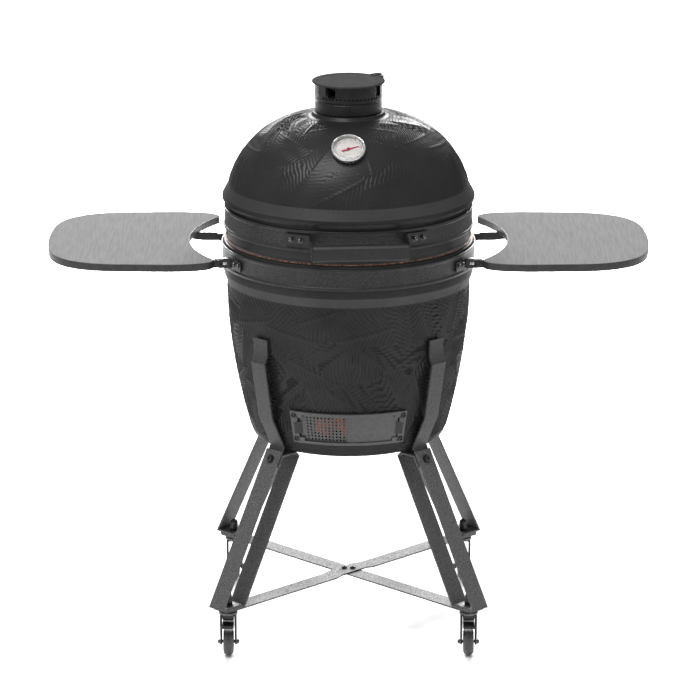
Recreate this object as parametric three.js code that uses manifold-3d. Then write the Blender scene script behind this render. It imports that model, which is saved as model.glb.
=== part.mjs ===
// Kamado ceramic grill on a four-legged steel stand with casters and two folding side shelves.
// Units are millimetres. +Z is up, the front faces -Y and +X is to the right of someone facing it.
// The origin is on the floor, under the middle of the bowl.

import * as THREE from 'three';
import { mergeVertices } from 'three/addons/utils/BufferGeometryUtils.js';
import Module from 'manifold-3d';

const wasm = await Module();
wasm.setup();

// ---------------------------------------------------------------- driving dimensions

const GAP = 0.3;                // clearance between pieces that touch
const RING_SEGMENTS = 36;       // facets round the large rings

const SHEET = 2;                // thickness of pressed steel sheet
const STRAP = 4;                // thickness of the leg straps

const BOWL_FLOOR = 416;         // underside of the bowl
const BOWL_WALL = 28;           // ceramic thickness of the bowl
const BOWL_BASE_RADIUS = 205;   // where the bowl's side meets its rounded foot
const BOWL_BASE_TOP = 436;
const BOWL_RADIUS = 253.5;      // widest part of the bowl's side
const BOWL_SHOULDER = 752;      // bottom of the bevel under the rim
const RIM_RADIUS = 261;
const RIM_BOTTOM = 772;         // top of the bevel under the rim
const RIM_TOP = 840.5;
const RIM_INNER = 230;

const GASKET = 3;               // thickness of each felt gasket
const GASKET_INNER = 236;
const GASKET_OUTER = 256;

const BAND_HEIGHT = 45;
const BASE_BAND_BOTTOM = 790;
const LID_BAND_BOTTOM = 868;
const BEAD = 6;                 // height of the rolled edge of a band
const BEAD_DEPTH = 2.2;         // how far that edge stands proud

const LID_BOTTOM = RIM_TOP + 2 * GASKET + 3 * GAP;
const LID_RADIUS = 256;         // the lid's rim, under its band
const LID_INNER = 232;
const FLARE_RADIUS = 263.5;     // the overhanging skirt of the dome
const FLARE_BOTTOM = 931;
const DOME_RADIUS = 252.3;
const DOME_BASE = 952.3;
const DOME_TOP = 1099.5;
const NECK_FOOT = 84;           // where the dome's curve turns up into the damper's neck
const NECK_RADIUS = 73;
const NECK_TOP = 1108.5;
const DOME_WALL = 25;
const CHIMNEY_HOLE = 52;

const FIREBOX_FOOT = 166;       // outer radius of the firebox where it stands on the bowl's floor
const FIREBOX_RADIUS = 203;     // outer radius at its rim
const FIREBOX_TOP = 690;
const FIREBOX_WALL = 22;
const FIREBOX_BORE = 140;       // opening inside the ledge that carries the charcoal grate
const GRATE_SEAT = 524;         // height of that ledge
const FIRE_RING_RADIUS = 222;
const FIRE_RING_TOP = 786;
const CHARCOAL_GRATE_RADIUS = 160;
const COOKING_GRATE_RADIUS = 214;
const GRATE_BAR_PITCH = 32;

const DAMPER_RADIUS = 70;
const DAMPER_BORE = 58;
const DAMPER_BASE_TOP = 1143;
const DAMPER_RING_TOP = 1169;
const CAP_RADIUS = 76;
const CAP_THICKNESS = 5;
const CAP_BEARING = 43;         // direction of the cap's hinge, in degrees from +X
const CAP_HINGE_REACH = 84;
const CAP_HINGE_HEIGHT = 1172;
const CAP_LUG_HALF = 7;         // half the width of the cap's lug between the ring's ears
const CAP_EAR_WIDTH = 4.5;

const THERMOMETER_RADIUS = 35;
const THERMOMETER_REACH = 181;  // distance of the thermometer from the grill's axis
const THERMOMETER_HEIGHT = 1064;
const THERMOMETER_LEAN = 38;    // degrees its face leans back from the horizontal

const HANDLE_TURN = 4.5;        // the lid's fittings are turned this much about the vertical
const HANDLE_HALF = 97;
const HANDLE_REACH = 332;
const HANDLE_DEPTH = 17;
const HANDLE_BOTTOM = 868;
const HANDLE_HEIGHT = 33;

const HINGE_BOSS = 14;
const HINGE_Z = 857;
const HINGE_PIN_RADIUS = 6;
const HINGE_PIN_LENGTH = 128;
const HINGE_EAR_WIDTH = 10;
const HINGE_UPPER_EAR_X = 36;
const HINGE_LOWER_EAR_X = 50;
const HINGE_FLANGE = 4;

const SHELF_TOP = 838;
const SHELF_THICKNESS = 16;
const SHELF_TIP = 626;          // outermost point, from the grill's axis
const SHELF_HALF = 230;         // half the depth, front to back
const SHELF_NOTCH = 332;        // radius of the notch round the bowl
const SHELF_INNER = 273;
const SHELF_PIVOT_X = 268;
const SHELF_PIVOT_Z = 811;
const SHELF_BRACKET_Y = 112;
const SHELF_ARM_LENGTH = 150;   // how far the steel frame reaches under the board
const SHELF_STEEL = 3;

const STRAP_WIDTH = 43;
const ARM_WIDTH = 40;
const LEG_SPLAY = 0.545;        // outward run of a leg for each millimetre down
const LEG_REACH = 239;          // the outer leg's distance from the axis, at LEG_HEIGHT
const LEG_HEIGHT = 382;
const LEG_SPACING = 61.6;       // horizontal distance between outer and inner leg
const LEG_LAP_BOTTOM = 388;     // where the arm and both legs overlap, bolted together
const STEM_HOLE_RADIUS = 5.6;
const FOOT_OVERHANG = 22;       // how far a foot runs past its caster stem
const FOOT_BOTTOM = 104;
const BRACE = 3;                // thickness of the cross braces
const STEM_REACH = 353.6;       // caster stem's distance from the axis

const WHEEL_RADIUS = 30;
const WHEEL_WIDTH = 22;
const WHEEL_FACETS = 16;
const WHEEL_TRAIL = 12;         // how far the wheel sits behind its stem
const AXLE_HEIGHT = WHEEL_RADIUS * Math.cos(Math.PI / WHEEL_FACETS);
const AXLE_RADIUS = 3.5;
const FORK_SHEET = 2.5;
const BRAKE_PIVOT_Y = -4;       // the pedal's pivot, from the stem
const BRAKE_PIVOT_Z = 74;

const VENT_BOTTOM = 448;
const VENT_TOP = 519;
const VENT_HALF_ANGLE = 31.5;   // half the span of the frame round the bowl
const VENT_PLATE_ANGLE = 24;    // the span of the screen, and of the door
const VENT_TAB_ANGLE = 25;      // where each plate's pull tab stands
const VENT_TAB_REACH = 17;      // how far it stands off the bowl
const VENT_TAB_INSET = 22;      // from the top and bottom of the frame
const VENT_SHEET = 1;
const SCREEN_OFFSET = 0.9;      // the screen slides next to the bowl, and the door over it
const DOOR_OFFSET = 3.4;

// ---------------------------------------------------------------- solids

const degrees = THREE.MathUtils.degToRad;

// Makes a geometry one closed indexed surface whose faces point out.
function closed(geometry) {
  const bare = geometry.index ? geometry.toNonIndexed() : geometry.clone();
  bare.deleteAttribute('normal');
  bare.deleteAttribute('uv');
  const merged = mergeVertices(bare, 1e-3);
  const corners = merged.index.array;
  const kept = [];
  for (let i = 0; i < corners.length; i += 3) {
    const [a, b, c] = [corners[i], corners[i + 1], corners[i + 2]];
    if (a !== b && b !== c && c !== a) {
      kept.push(a, b, c);
    }
  }
  if (volumeOf(merged.attributes.position, kept) < 0) {
    kept.reverse();
  }
  merged.setIndex(kept);
  return merged;
}

function volumeOf(position, corners) {
  const a = new THREE.Vector3();
  const b = new THREE.Vector3();
  const c = new THREE.Vector3();
  let volume = 0;
  for (let i = 0; i < corners.length; i += 3) {
    a.fromBufferAttribute(position, corners[i]);
    b.fromBufferAttribute(position, corners[i + 1]);
    c.fromBufferAttribute(position, corners[i + 2]);
    volume += a.dot(b.cross(c)) / 6;
  }
  return volume;
}

function toSolid(geometry) {
  const surface = closed(geometry);
  const vertProperties = new Float32Array(surface.attributes.position.array);
  const triVerts = new Uint32Array(surface.index.array);
  return new wasm.Manifold(new wasm.Mesh({ numProp: 3, vertProperties, triVerts }));
}

function fromSolid(solid) {
  const mesh = solid.getMesh();
  const geometry = new THREE.BufferGeometry();
  geometry.setAttribute('position', new THREE.BufferAttribute(mesh.vertProperties, 3));
  geometry.setIndex(new THREE.BufferAttribute(mesh.triVerts, 1));
  return geometry;
}

function join(...geometries) {
  const solids = geometries.map(toSolid);
  return fromSolid(solids.reduce((sum, solid) => sum.add(solid)));
}

function cut(geometry, ...tools) {
  const solids = tools.map(toSolid);
  return fromSolid(solids.reduce((rest, tool) => rest.subtract(tool), toSolid(geometry)));
}

// A solid of revolution about Z, from [radius, height] points. A profile that doesn't start and
// end on the axis is closed on itself.
function revolve(profile, segments = RING_SEGMENTS) {
  const points = profile.map(([r, z]) => new THREE.Vector2(r, z));
  const onAxis = profile[0][0] === 0 && profile[profile.length - 1][0] === 0;
  if (!onAxis) {
    points.push(points[0].clone());
  }
  return new THREE.LatheGeometry(points, segments).rotateX(Math.PI / 2);
}

function box(x0, x1, y0, y1, z0, z1) {
  const block = new THREE.BoxGeometry(x1 - x0, y1 - y0, z1 - z0);
  return block.translate((x0 + x1) / 2, (y0 + y1) / 2, (z0 + z1) / 2);
}

// A cylinder along 'x', 'y' or 'z', centred on (x, y, z).
function rod(axis, radius, length, [x, y, z], segments = 16) {
  const cylinder = new THREE.CylinderGeometry(radius, radius, length, segments);
  if (axis === 'x') {
    cylinder.rotateZ(Math.PI / 2);
  }
  if (axis === 'z') {
    cylinder.rotateX(Math.PI / 2);
  }
  return cylinder.translate(x, y, z);
}

// A plate whose outline lies in the vertical plane of X (or of the radius) and Z, with its
// thickness along Y, centred on the plane y = 0.
function uprightPlate(outline, thickness) {
  const shape = new THREE.Shape(outline.map(([x, z]) => new THREE.Vector2(x, z)));
  const plate = new THREE.ExtrudeGeometry(shape, { depth: thickness, bevelEnabled: false });
  return plate.translate(0, 0, -thickness / 2).rotateX(Math.PI / 2);
}

// The same, with the outline in the plane of Y and Z and the thickness along X.
function sidePlate(outline, thickness, x) {
  return uprightPlate(outline, thickness).rotateZ(Math.PI / 2).translate(x, 0, 0);
}

// The outline of a bent strip that follows a centreline, with mitred bends.
function stripOutline(centreline, thickness) {
  const points = centreline.map(([x, z]) => new THREE.Vector2(x, z));
  const normals = [];
  for (let i = 0; i < points.length - 1; i += 1) {
    const along = points[i + 1].clone().sub(points[i]).normalize();
    normals.push(new THREE.Vector2(-along.y, along.x));
  }
  const left = [];
  const right = [];
  points.forEach((point, i) => {
    const before = normals[Math.max(0, i - 1)];
    const after = normals[Math.min(normals.length - 1, i)];
    const mitre = before.clone().add(after).normalize();
    const offset = thickness / 2 / mitre.dot(after);
    left.push([point.x + mitre.x * offset, point.y + mitre.y * offset]);
    right.unshift([point.x - mitre.x * offset, point.y - mitre.y * offset]);
  });
  return [...left, ...right];
}

// Points along a cubic curve through four [x, y] controls, both ends included.
function bezier(controls, divisions) {
  const [p0, p1, p2, p3] = controls.map(([x, y]) => new THREE.Vector2(x, y));
  const curve = new THREE.CubicBezierCurve(p0, p1, p2, p3);
  return curve.getPoints(divisions).map((point) => [point.x, point.y]);
}

// A plate bent round Z: cells between the given angles (degrees from -Y, towards +X) and heights,
// between two radii that may change with height. isOpen(angle, z) leaves a cell out.
function bentPlate(angles, heights, innerAt, outerAt, isOpen = () => false) {
  const positions = [];
  const corner = (i, j, radiusAt) => {
    const turn = degrees(angles[i]);
    const radius = radiusAt(heights[j]);
    return [radius * Math.sin(turn), -radius * Math.cos(turn), heights[j]];
  };
  const quad = (a, b, c, d) => positions.push(...a, ...b, ...c, ...a, ...c, ...d);
  const isSolid = (i, j) => {
    if (i < 0 || j < 0 || i >= angles.length - 1 || j >= heights.length - 1) {
      return false;
    }
    return !isOpen((angles[i] + angles[i + 1]) / 2, (heights[j] + heights[j + 1]) / 2);
  };
  const wall = (i0, j0, i1, j1) => quad(
    corner(i0, j0, outerAt), corner(i1, j1, outerAt), corner(i1, j1, innerAt), corner(i0, j0, innerAt));
  for (let i = 0; i < angles.length - 1; i += 1) {
    for (let j = 0; j < heights.length - 1; j += 1) {
      if (isSolid(i, j)) {
        quad(corner(i, j, outerAt), corner(i + 1, j, outerAt),
          corner(i + 1, j + 1, outerAt), corner(i, j + 1, outerAt));
        quad(corner(i, j, innerAt), corner(i, j + 1, innerAt),
          corner(i + 1, j + 1, innerAt), corner(i + 1, j, innerAt));
        if (!isSolid(i, j - 1)) {
          wall(i + 1, j, i, j);
        }
        if (!isSolid(i, j + 1)) {
          wall(i, j + 1, i + 1, j + 1);
        }
        if (!isSolid(i - 1, j)) {
          wall(i, j, i, j + 1);
        }
        if (!isSolid(i + 1, j)) {
          wall(i + 1, j + 1, i + 1, j);
        }
      }
    }
  }
  const geometry = new THREE.BufferGeometry();
  geometry.setAttribute('position', new THREE.Float32BufferAttribute(positions, 3));
  return geometry;
}

// Evenly spaced numbers from first to last, both included.
function spread(first, last, steps) {
  return Array.from({ length: steps + 1 }, (_, i) => first + (last - first) * i / steps);
}

// ---------------------------------------------------------------- materials

const finishes = {
  ceramic: { color: 0x2e2e2f, roughness: 0.45, metalness: 0.0 },
  band: { color: 0x343435, roughness: 0.6, metalness: 0.4 },
  gasket: { color: 0x6b4a38, roughness: 0.95, metalness: 0.0 },
  fireclay: { color: 0xb9ab95, roughness: 0.9, metalness: 0.0 },
  iron: { color: 0x1c1c1d, roughness: 0.6, metalness: 0.5 },
  strap: { color: 0x6a6a6b, roughness: 0.65, metalness: 0.4 },
  vent: { color: 0x5c5c5d, roughness: 0.45, metalness: 0.7 },
  chrome: { color: 0xd8d8da, roughness: 0.15, metalness: 1.0 },
  grate: { color: 0xa9abae, roughness: 0.35, metalness: 0.9 },
  dial: { color: 0xddd8d3, roughness: 0.6, metalness: 0.0 },
  needle: { color: 0xc8213a, roughness: 0.5, metalness: 0.0 },
  lens: { color: 0xf2f6f8, roughness: 0.05, metalness: 0.0 },
  shelf: { color: 0x9a9a99, roughness: 0.5, metalness: 0.0 },
  black: { color: 0x161616, roughness: 0.5, metalness: 0.3 },
  tread: { color: 0x5a5a5a, roughness: 0.7, metalness: 0.0 },
};

const grill = new THREE.Group();

// Adds a named piece to the grill, or to a group inside it.
function add(name, geometry, finish, parent = grill) {
  const surface = closed(geometry);
  surface.computeVertexNormals();
  const mesh = new THREE.Mesh(surface, new THREE.MeshStandardMaterial(finishes[finish]));
  mesh.name = name;
  parent.add(mesh);
  return mesh;
}

// ---------------------------------------------------------------- bowl and what stands in it

const bowlSide = [
  [BOWL_BASE_RADIUS, BOWL_BASE_TOP],
  [228, 515],
  [BOWL_RADIUS, 640],
  [BOWL_RADIUS, BOWL_SHOULDER],
];

// The bowl's outer radius at a height on its side, good enough for fittings that follow it.
function bowlRadiusAt(z) {
  const side = bezier(bowlSide, 40);
  const i = Math.max(1, side.findIndex(([, height]) => height >= z));
  const [r0, z0] = side[i - 1];
  const [r1, z1] = side[i];
  return r0 + (r1 - r0) * (z - z0) / (z1 - z0);
}

function buildBowl() {
  const inside = bezier([
    [RIM_INNER - 3, BOWL_SHOULDER],
    [RIM_INNER - 3, 640],
    [BOWL_BASE_RADIUS - 4, 520],
    [BOWL_BASE_RADIUS - BOWL_WALL, BOWL_FLOOR + BOWL_WALL + 4],
  ], 4);
  const profile = [
    [0, BOWL_FLOOR],
    [190, BOWL_FLOOR],
    [200, BOWL_FLOOR + 7],
    ...bezier(bowlSide, 7),
    [RIM_RADIUS, RIM_BOTTOM],
    [RIM_RADIUS, RIM_TOP - 5],
    [RIM_RADIUS - 3, RIM_TOP],
    [RIM_INNER, RIM_TOP],
    ...inside,
    [BOWL_BASE_RADIUS - BOWL_WALL - 5, BOWL_FLOOR + BOWL_WALL],
    [0, BOWL_FLOOR + BOWL_WALL],
  ];
  const windowHalf = bowlRadiusAt(VENT_BOTTOM) * Math.sin(degrees(VENT_PLATE_ANGLE - 2));
  const draughtWindow = box(-windowHalf, windowHalf, -260, -120, VENT_BOTTOM + 10, VENT_TOP - 10);
  add('base_bowl', cut(revolve(profile), draughtWindow), 'ceramic');
}

// A steel band with a rolled edge along its top and bottom.
function bandProfile(inner, bottom) {
  const flat = inner + SHEET;
  const proud = flat + BEAD_DEPTH;
  const edge = [[flat, 0], [proud, BEAD * 0.3], [proud, BEAD * 0.7], [flat, BEAD]];
  const lower = edge.map(([r, h]) => [r, bottom + h]);
  const upper = edge.map(([r, h]) => [r, bottom + BAND_HEIGHT - BEAD + h]);
  return [[inner, bottom], ...lower, ...upper, [inner, bottom + BAND_HEIGHT]];
}

function ringProfile(inner, outer, bottom, top) {
  return [[inner, bottom], [outer, bottom], [outer, top], [inner, top]];
}

function buildBaseTrim() {
  const gasketBottom = RIM_TOP + GAP;
  add('base_band', revolve(bandProfile(RIM_RADIUS + GAP, BASE_BAND_BOTTOM)), 'band');
  add('base_gasket', revolve(
    ringProfile(GASKET_INNER, GASKET_OUTER, gasketBottom, gasketBottom + GASKET)), 'gasket');
}

function buildFirebox() {
  const bottom = BOWL_FLOOR + BOWL_WALL + GAP;
  const profile = [
    [FIREBOX_BORE, bottom],
    [FIREBOX_FOOT, bottom],
    [FIREBOX_FOOT + 6, bottom + 12],
    [FIREBOX_RADIUS, FIREBOX_TOP],
    [FIREBOX_RADIUS - FIREBOX_WALL, FIREBOX_TOP],
    [FIREBOX_FOOT, GRATE_SEAT],
    [FIREBOX_BORE, GRATE_SEAT],
  ];
  const ashMouth = box(-70, 70, -220, -80, bottom - 10, VENT_TOP - 12);
  const shoulder = 745;
  add('firebox', cut(revolve(profile), ashMouth), 'fireclay');
  add('fire_ring', revolve([
    [FIREBOX_RADIUS - FIREBOX_WALL - 1, FIREBOX_TOP + GAP],
    [FIREBOX_RADIUS + 1, FIREBOX_TOP + GAP],
    [FIRE_RING_RADIUS, shoulder],
    [FIRE_RING_RADIUS, FIRE_RING_TOP],
    [FIRE_RING_RADIUS - 20, FIRE_RING_TOP],
    [FIRE_RING_RADIUS - 24, shoulder],
  ]), 'fireclay');
}

// A round cast plate with rings of slots through it.
function buildCharcoalGrate() {
  const thickness = 8;
  const middle = GRATE_SEAT + GAP + thickness / 2;
  const plate = rod('z', CHARCOAL_GRATE_RADIUS, thickness, [0, 0, middle], 24);
  const slots = [];
  for (const [ring, count] of [[52, 6], [112, 10]]) {
    for (let i = 0; i < count; i += 1) {
      const slot = box(ring - 20, ring + 20, -7, 7, middle - thickness, middle + thickness);
      slots.push(slot.rotateZ(2 * Math.PI * i / count));
    }
  }
  add('charcoal_grate', cut(plate, ...slots), 'iron');
}

// Parallel bars in a round frame, carried by the fire ring.
function buildCookingGrate() {
  const bottom = FIRE_RING_TOP + GAP;
  const radius = COOKING_GRATE_RADIUS;
  const lastBar = 6 * GRATE_BAR_PITCH;
  const pieces = [revolve(ringProfile(radius - 7, radius, bottom, bottom + 7), 32)];
  for (let x = -lastBar; x <= lastBar; x += GRATE_BAR_PITCH) {
    const half = Math.sqrt((radius - 4) ** 2 - x ** 2);
    pieces.push(box(x - 2.5, x + 2.5, -half, half, bottom + 1.5, bottom + 6));
  }
  for (const y of [-80, 80]) {
    const half = Math.sqrt((radius - 4) ** 2 - y ** 2);
    pieces.push(box(-half, half, y - 3, y + 3, bottom + 0.7, bottom + 4));
  }
  add('cooking_grate', join(...pieces), 'grate');
}

// ---------------------------------------------------------------- draught vent

// The vent's pieces lie on the bowl in layers: offset is how far each stands off its surface.
function ventLayer(offset) {
  return (z) => bowlRadiusAt(z) + offset;
}

function buildVentFrame() {
  const wideHalf = VENT_HALF_ANGLE - 4;
  const tallHalf = VENT_HALF_ANGLE - 7;
  const angles = [
    -VENT_HALF_ANGLE, -wideHalf, ...spread(-tallHalf, tallHalf, 8), wideHalf, VENT_HALF_ANGLE,
  ];
  const lower = [VENT_BOTTOM, VENT_BOTTOM + 6, VENT_BOTTOM + 13];
  const upper = [VENT_TOP - 13, VENT_TOP - 6, VENT_TOP];
  const heights = [...lower, ...upper];
  const inWindow = (angle, z) => {
    const isWide = Math.abs(angle) < wideHalf && z > lower[2] && z < upper[0];
    const isTall = Math.abs(angle) < tallHalf && z > lower[1] && z < upper[1];
    return isWide || isTall;
  };
  const face = bentPlate(angles, heights, ventLayer(5.2), ventLayer(7.2), inWindow);
  const rails = bentPlate(angles, [VENT_BOTTOM, VENT_BOTTOM + 4, VENT_TOP - 4, VENT_TOP],
    ventLayer(0.5), ventLayer(5.3),
    (angle, z) => Math.abs(angle) < wideHalf && z > VENT_BOTTOM + 4 && z < VENT_TOP - 4);
  add('vent_frame', join(face, rails), 'vent');
}

// A plate that slides round the bowl, with a pull tab at one end. side is -1 or 1.
function slidingPlate(side, offset, isOpen, columns) {
  const bottom = VENT_BOTTOM + 5;
  const top = VENT_TOP - 5;
  const near = side * 0.4;
  const far = side * (VENT_PLATE_ANGLE + 3);
  const angles = spread(Math.min(near, far), Math.max(near, far), columns);
  const heights = [bottom, bottom + 7, top - 7, top];
  const outside = ventLayer(offset + VENT_SHEET);
  const plate = bentPlate(angles, heights, ventLayer(offset), outside, isOpen);
  const tabAngles = [side * VENT_TAB_ANGLE, side * (VENT_TAB_ANGLE + 1.6)].sort((a, b) => a - b);
  const tabHeights = [VENT_BOTTOM + VENT_TAB_INSET, VENT_TOP - VENT_TAB_INSET];
  const tab = bentPlate(tabAngles, tabHeights, ventLayer(offset + 0.4), ventLayer(VENT_TAB_REACH));
  return join(plate, tab);
}

function buildVentPlates() {
  const slotColumns = 23;
  const pitch = (VENT_PLATE_ANGLE + 2.6) / slotColumns;
  const isSlot = (angle, z) => {
    const column = Math.floor((-angle - 0.4) / pitch);
    const isMiddle = z > VENT_BOTTOM + 12 && z < VENT_TOP - 12;
    return column % 2 === 1 && column < 20 && isMiddle;
  };
  add('vent_screen', slidingPlate(-1, SCREEN_OFFSET, isSlot, slotColumns), 'vent');
  add('vent_door', slidingPlate(1, DOOR_OFFSET, () => false, 9), 'vent');
}

// ---------------------------------------------------------------- lid

function thermometerGroup() {
  const group = new THREE.Group();
  group.position.set(0, -THERMOMETER_REACH, THERMOMETER_HEIGHT);
  group.rotation.x = degrees(THERMOMETER_LEAN);
  group.updateMatrix();
  return group;
}

function buildLidDome() {
  const outside = bezier([
    [DOME_RADIUS, DOME_BASE],
    [228.6, 1053.8],
    [143.1, DOME_TOP],
    [NECK_FOOT, DOME_TOP],
  ], 8);
  const inside = bezier([
    [CHIMNEY_HOLE, DOME_TOP - DOME_WALL],
    [135, DOME_TOP - DOME_WALL],
    [206, 1035],
    [DOME_RADIUS - DOME_WALL, DOME_BASE],
  ], 4);
  const profile = [
    [LID_INNER, LID_BOTTOM],
    [LID_RADIUS, LID_BOTTOM],
    [LID_RADIUS, LID_BAND_BOTTOM + BAND_HEIGHT + 4],
    [FLARE_RADIUS, FLARE_BOTTOM],
    [FLARE_RADIUS, FLARE_BOTTOM + 6],
    [FLARE_RADIUS - 4, FLARE_BOTTOM + 12],
    ...outside,
    [NECK_RADIUS + 3, DOME_TOP + 3],
    [NECK_RADIUS, NECK_TOP],
    [CHIMNEY_HOLE, NECK_TOP],
    ...inside,
  ];
  const probeHole = rod('z', 8, 120, [0, 0, 0], 12).applyMatrix4(thermometerGroup().matrix);
  add('lid_dome', cut(revolve(profile), probeHole), 'ceramic');
}

function buildLidTrim() {
  const gasketBottom = RIM_TOP + GASKET + 2 * GAP;
  add('lid_band', revolve(bandProfile(LID_RADIUS + GAP, LID_BAND_BOTTOM)), 'band');
  add('lid_gasket', revolve(
    ringProfile(GASKET_INNER, GASKET_OUTER - 1, gasketBottom, gasketBottom + GASKET)), 'gasket');
}

function buildThermometer() {
  const group = thermometerGroup();
  grill.add(group);
  const rim = THERMOMETER_RADIUS;
  const bore = rim - 4;
  const facets = 24;
  add('thermometer_case', revolve([
    [0, -62],
    [3, -62],
    [3, 1],
    [rim - 2, 1],
    [rim, 3],
    [rim, 12],
    [rim - 2, 14],
    [bore, 14],
    [bore, 3.5],
    [0, 3.5],
  ], facets), 'chrome', group);
  add('thermometer_dial', revolve(ringProfile(2, bore - 0.4, 3.8, 4.8), facets), 'dial', group);
  add('thermometer_lens', revolve([
    [0, 9.5],
    [bore - 0.4, 9.5],
    [bore - 0.4, 11],
    [0, 12],
  ], facets), 'lens', group);
  const blade = new THREE.Shape([[-1.6, -14], [1.6, -14], [0.7, 23], [-0.7, 23]]
    .map(([x, y]) => new THREE.Vector2(x, y)));
  const pointer = new THREE.ExtrudeGeometry(blade, { depth: 0.8, bevelEnabled: false });
  const needle = join(pointer.translate(0, 0, 6), rod('z', 3.2, 2.4, [0, 0, 6.6], 12));
  add('thermometer_needle', needle.rotateZ(degrees(-70)), 'needle', group);
}

// The handle is built facing -Y, then turned with the lid's fittings.
function handleGroup() {
  const group = new THREE.Group();
  group.rotation.z = degrees(HANDLE_TURN);
  return group;
}

function buildHandle() {
  const group = handleGroup();
  grill.add(group);
  const front = -HANDLE_REACH;
  const back = front + HANDLE_DEPTH;
  const top = HANDLE_BOTTOM + HANDLE_HEIGHT;
  const bevel = 5;
  const section = [
    [front, HANDLE_BOTTOM + bevel],
    [front + bevel, HANDLE_BOTTOM],
    [back, HANDLE_BOTTOM],
    [back, top],
    [front + bevel, top],
    [front, top - bevel],
  ];
  add('handle_bar', sidePlate(section, 2 * HANDLE_HALF, 0), 'band', group);
  const bandOuter = LID_RADIUS + SHEET + BEAD_DEPTH + 2 * GAP;
  for (const [side, name] of [[-1, 'left'], [1, 'right']]) {
    const inner = HANDLE_HALF + GAP;
    const outer = inner + 3;
    const cheek = sidePlate([
      [front + 2, HANDLE_BOTTOM + 4],
      [back + 3, HANDLE_BOTTOM + 2],
      [-bandOuter + 30, LID_BAND_BOTTOM + 14],
      [-bandOuter + 30, LID_BAND_BOTTOM + 36],
      [back + 3, top + 3],
      [front + 2, top - 3],
    ], 3, side * (inner + outer) / 2);
    const from = Math.asin(inner / bandOuter) * 180 / Math.PI;
    const angles = [from, from + 4, from + 8, from + 12].map((angle) => side * angle);
    const flange = bentPlate(angles.sort((a, b) => a - b),
      [LID_BAND_BOTTOM + 14, LID_BAND_BOTTOM + 36], () => bandOuter, () => bandOuter + 3);
    const clearance = rod('z', bandOuter - 0.05, BAND_HEIGHT, [0, 0, LID_BAND_BOTTOM + 20], 96);
    add(`handle_bracket_${name}`, join(cut(cheek, clearance), flange), 'black', group);
  }
}

// ---------------------------------------------------------------- top damper

function buildDamper() {
  const bore = DAMPER_BORE;
  const facets = 36;
  add('damper_base', revolve([
    [bore, NECK_TOP + GAP],
    [DAMPER_RADIUS, NECK_TOP + GAP],
    [DAMPER_RADIUS, DAMPER_BASE_TOP],
    [bore, DAMPER_BASE_TOP],
  ], facets), 'iron');
  const wall = revolve([
    [bore, DAMPER_BASE_TOP + GAP],
    [DAMPER_RADIUS, DAMPER_BASE_TOP + GAP],
    [DAMPER_RADIUS, DAMPER_RING_TOP],
    [bore - 12, DAMPER_RING_TOP],
    [bore - 12, DAMPER_RING_TOP - 5],
    [bore, DAMPER_RING_TOP - 5],
  ], facets);
  const sideWindow = () => box(bore - 6, DAMPER_RADIUS + 6, -9, 9,
    DAMPER_BASE_TOP + 7, DAMPER_RING_TOP - 6);
  const frontLeft = sideWindow().rotateZ(degrees(240));
  const right = sideWindow().rotateZ(degrees(-27));
  // The ears stay inside the arc that the cap's rim sweeps round the hinge.
  const earInner = CAP_LUG_HALF + 0.5;
  const earMiddle = earInner + CAP_EAR_WIDTH / 2;
  const ears = [-1, 1].map((side) => box(DAMPER_RADIUS - 5, CAP_HINGE_REACH + 5,
    side * earMiddle - CAP_EAR_WIDTH / 2, side * earMiddle + CAP_EAR_WIDTH / 2,
    DAMPER_RING_TOP - 14, CAP_HINGE_HEIGHT + 2).rotateZ(degrees(CAP_BEARING)));
  const capSweep = rod('z', CAP_RADIUS + 1, 20, [0, 0, DAMPER_RING_TOP + 10], facets);
  add('damper_ring', cut(join(wall, ...ears), frontLeft, right, capSweep), 'iron');
}

function buildDamperCap() {
  const bottom = DAMPER_RING_TOP + GAP;
  const top = bottom + CAP_THICKNESS;
  const disc = revolve([
    [0, bottom],
    [CAP_RADIUS - 2, bottom],
    [CAP_RADIUS, bottom + 2],
    [CAP_RADIUS, top - 1],
    [CAP_RADIUS - 2, top],
    [0, top],
  ], 40);
  const lug = box(CAP_RADIUS - 8, CAP_HINGE_REACH + 5, -CAP_LUG_HALF, CAP_LUG_HALF,
    bottom + 0.5, CAP_HINGE_HEIGHT + 4);
  const tab = box(-CAP_RADIUS + 1, -CAP_RADIUS + 4.5, -10, 10, DAMPER_RING_TOP - 18, top - 1);
  add('damper_cap', join(disc, lug.rotateZ(degrees(CAP_BEARING)), tab.rotateZ(degrees(CAP_BEARING))),
    'iron');
}

// ---------------------------------------------------------------- lid hinge

// The hinge stands as far behind the axis as the handle stands in front of it.
const REACH = HANDLE_HALF * Math.sin(degrees(HANDLE_TURN))
  + (HANDLE_REACH * Math.cos(degrees(HANDLE_TURN)));
const HINGE_Y = REACH - HINGE_BOSS;

// An ear of the hinge: a plate from the band back to a round boss on the pin.
function hingeEar(x, width, bandY, bottom, top) {
  const boss = spread(-90, 90, 6).map((angle) => [
    HINGE_Y + HINGE_BOSS * Math.cos(degrees(angle)),
    HINGE_Z + HINGE_BOSS * Math.sin(degrees(angle)),
  ]);
  return sidePlate([[bandY, bottom], ...boss, [bandY, top]], width, x);
}

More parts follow.
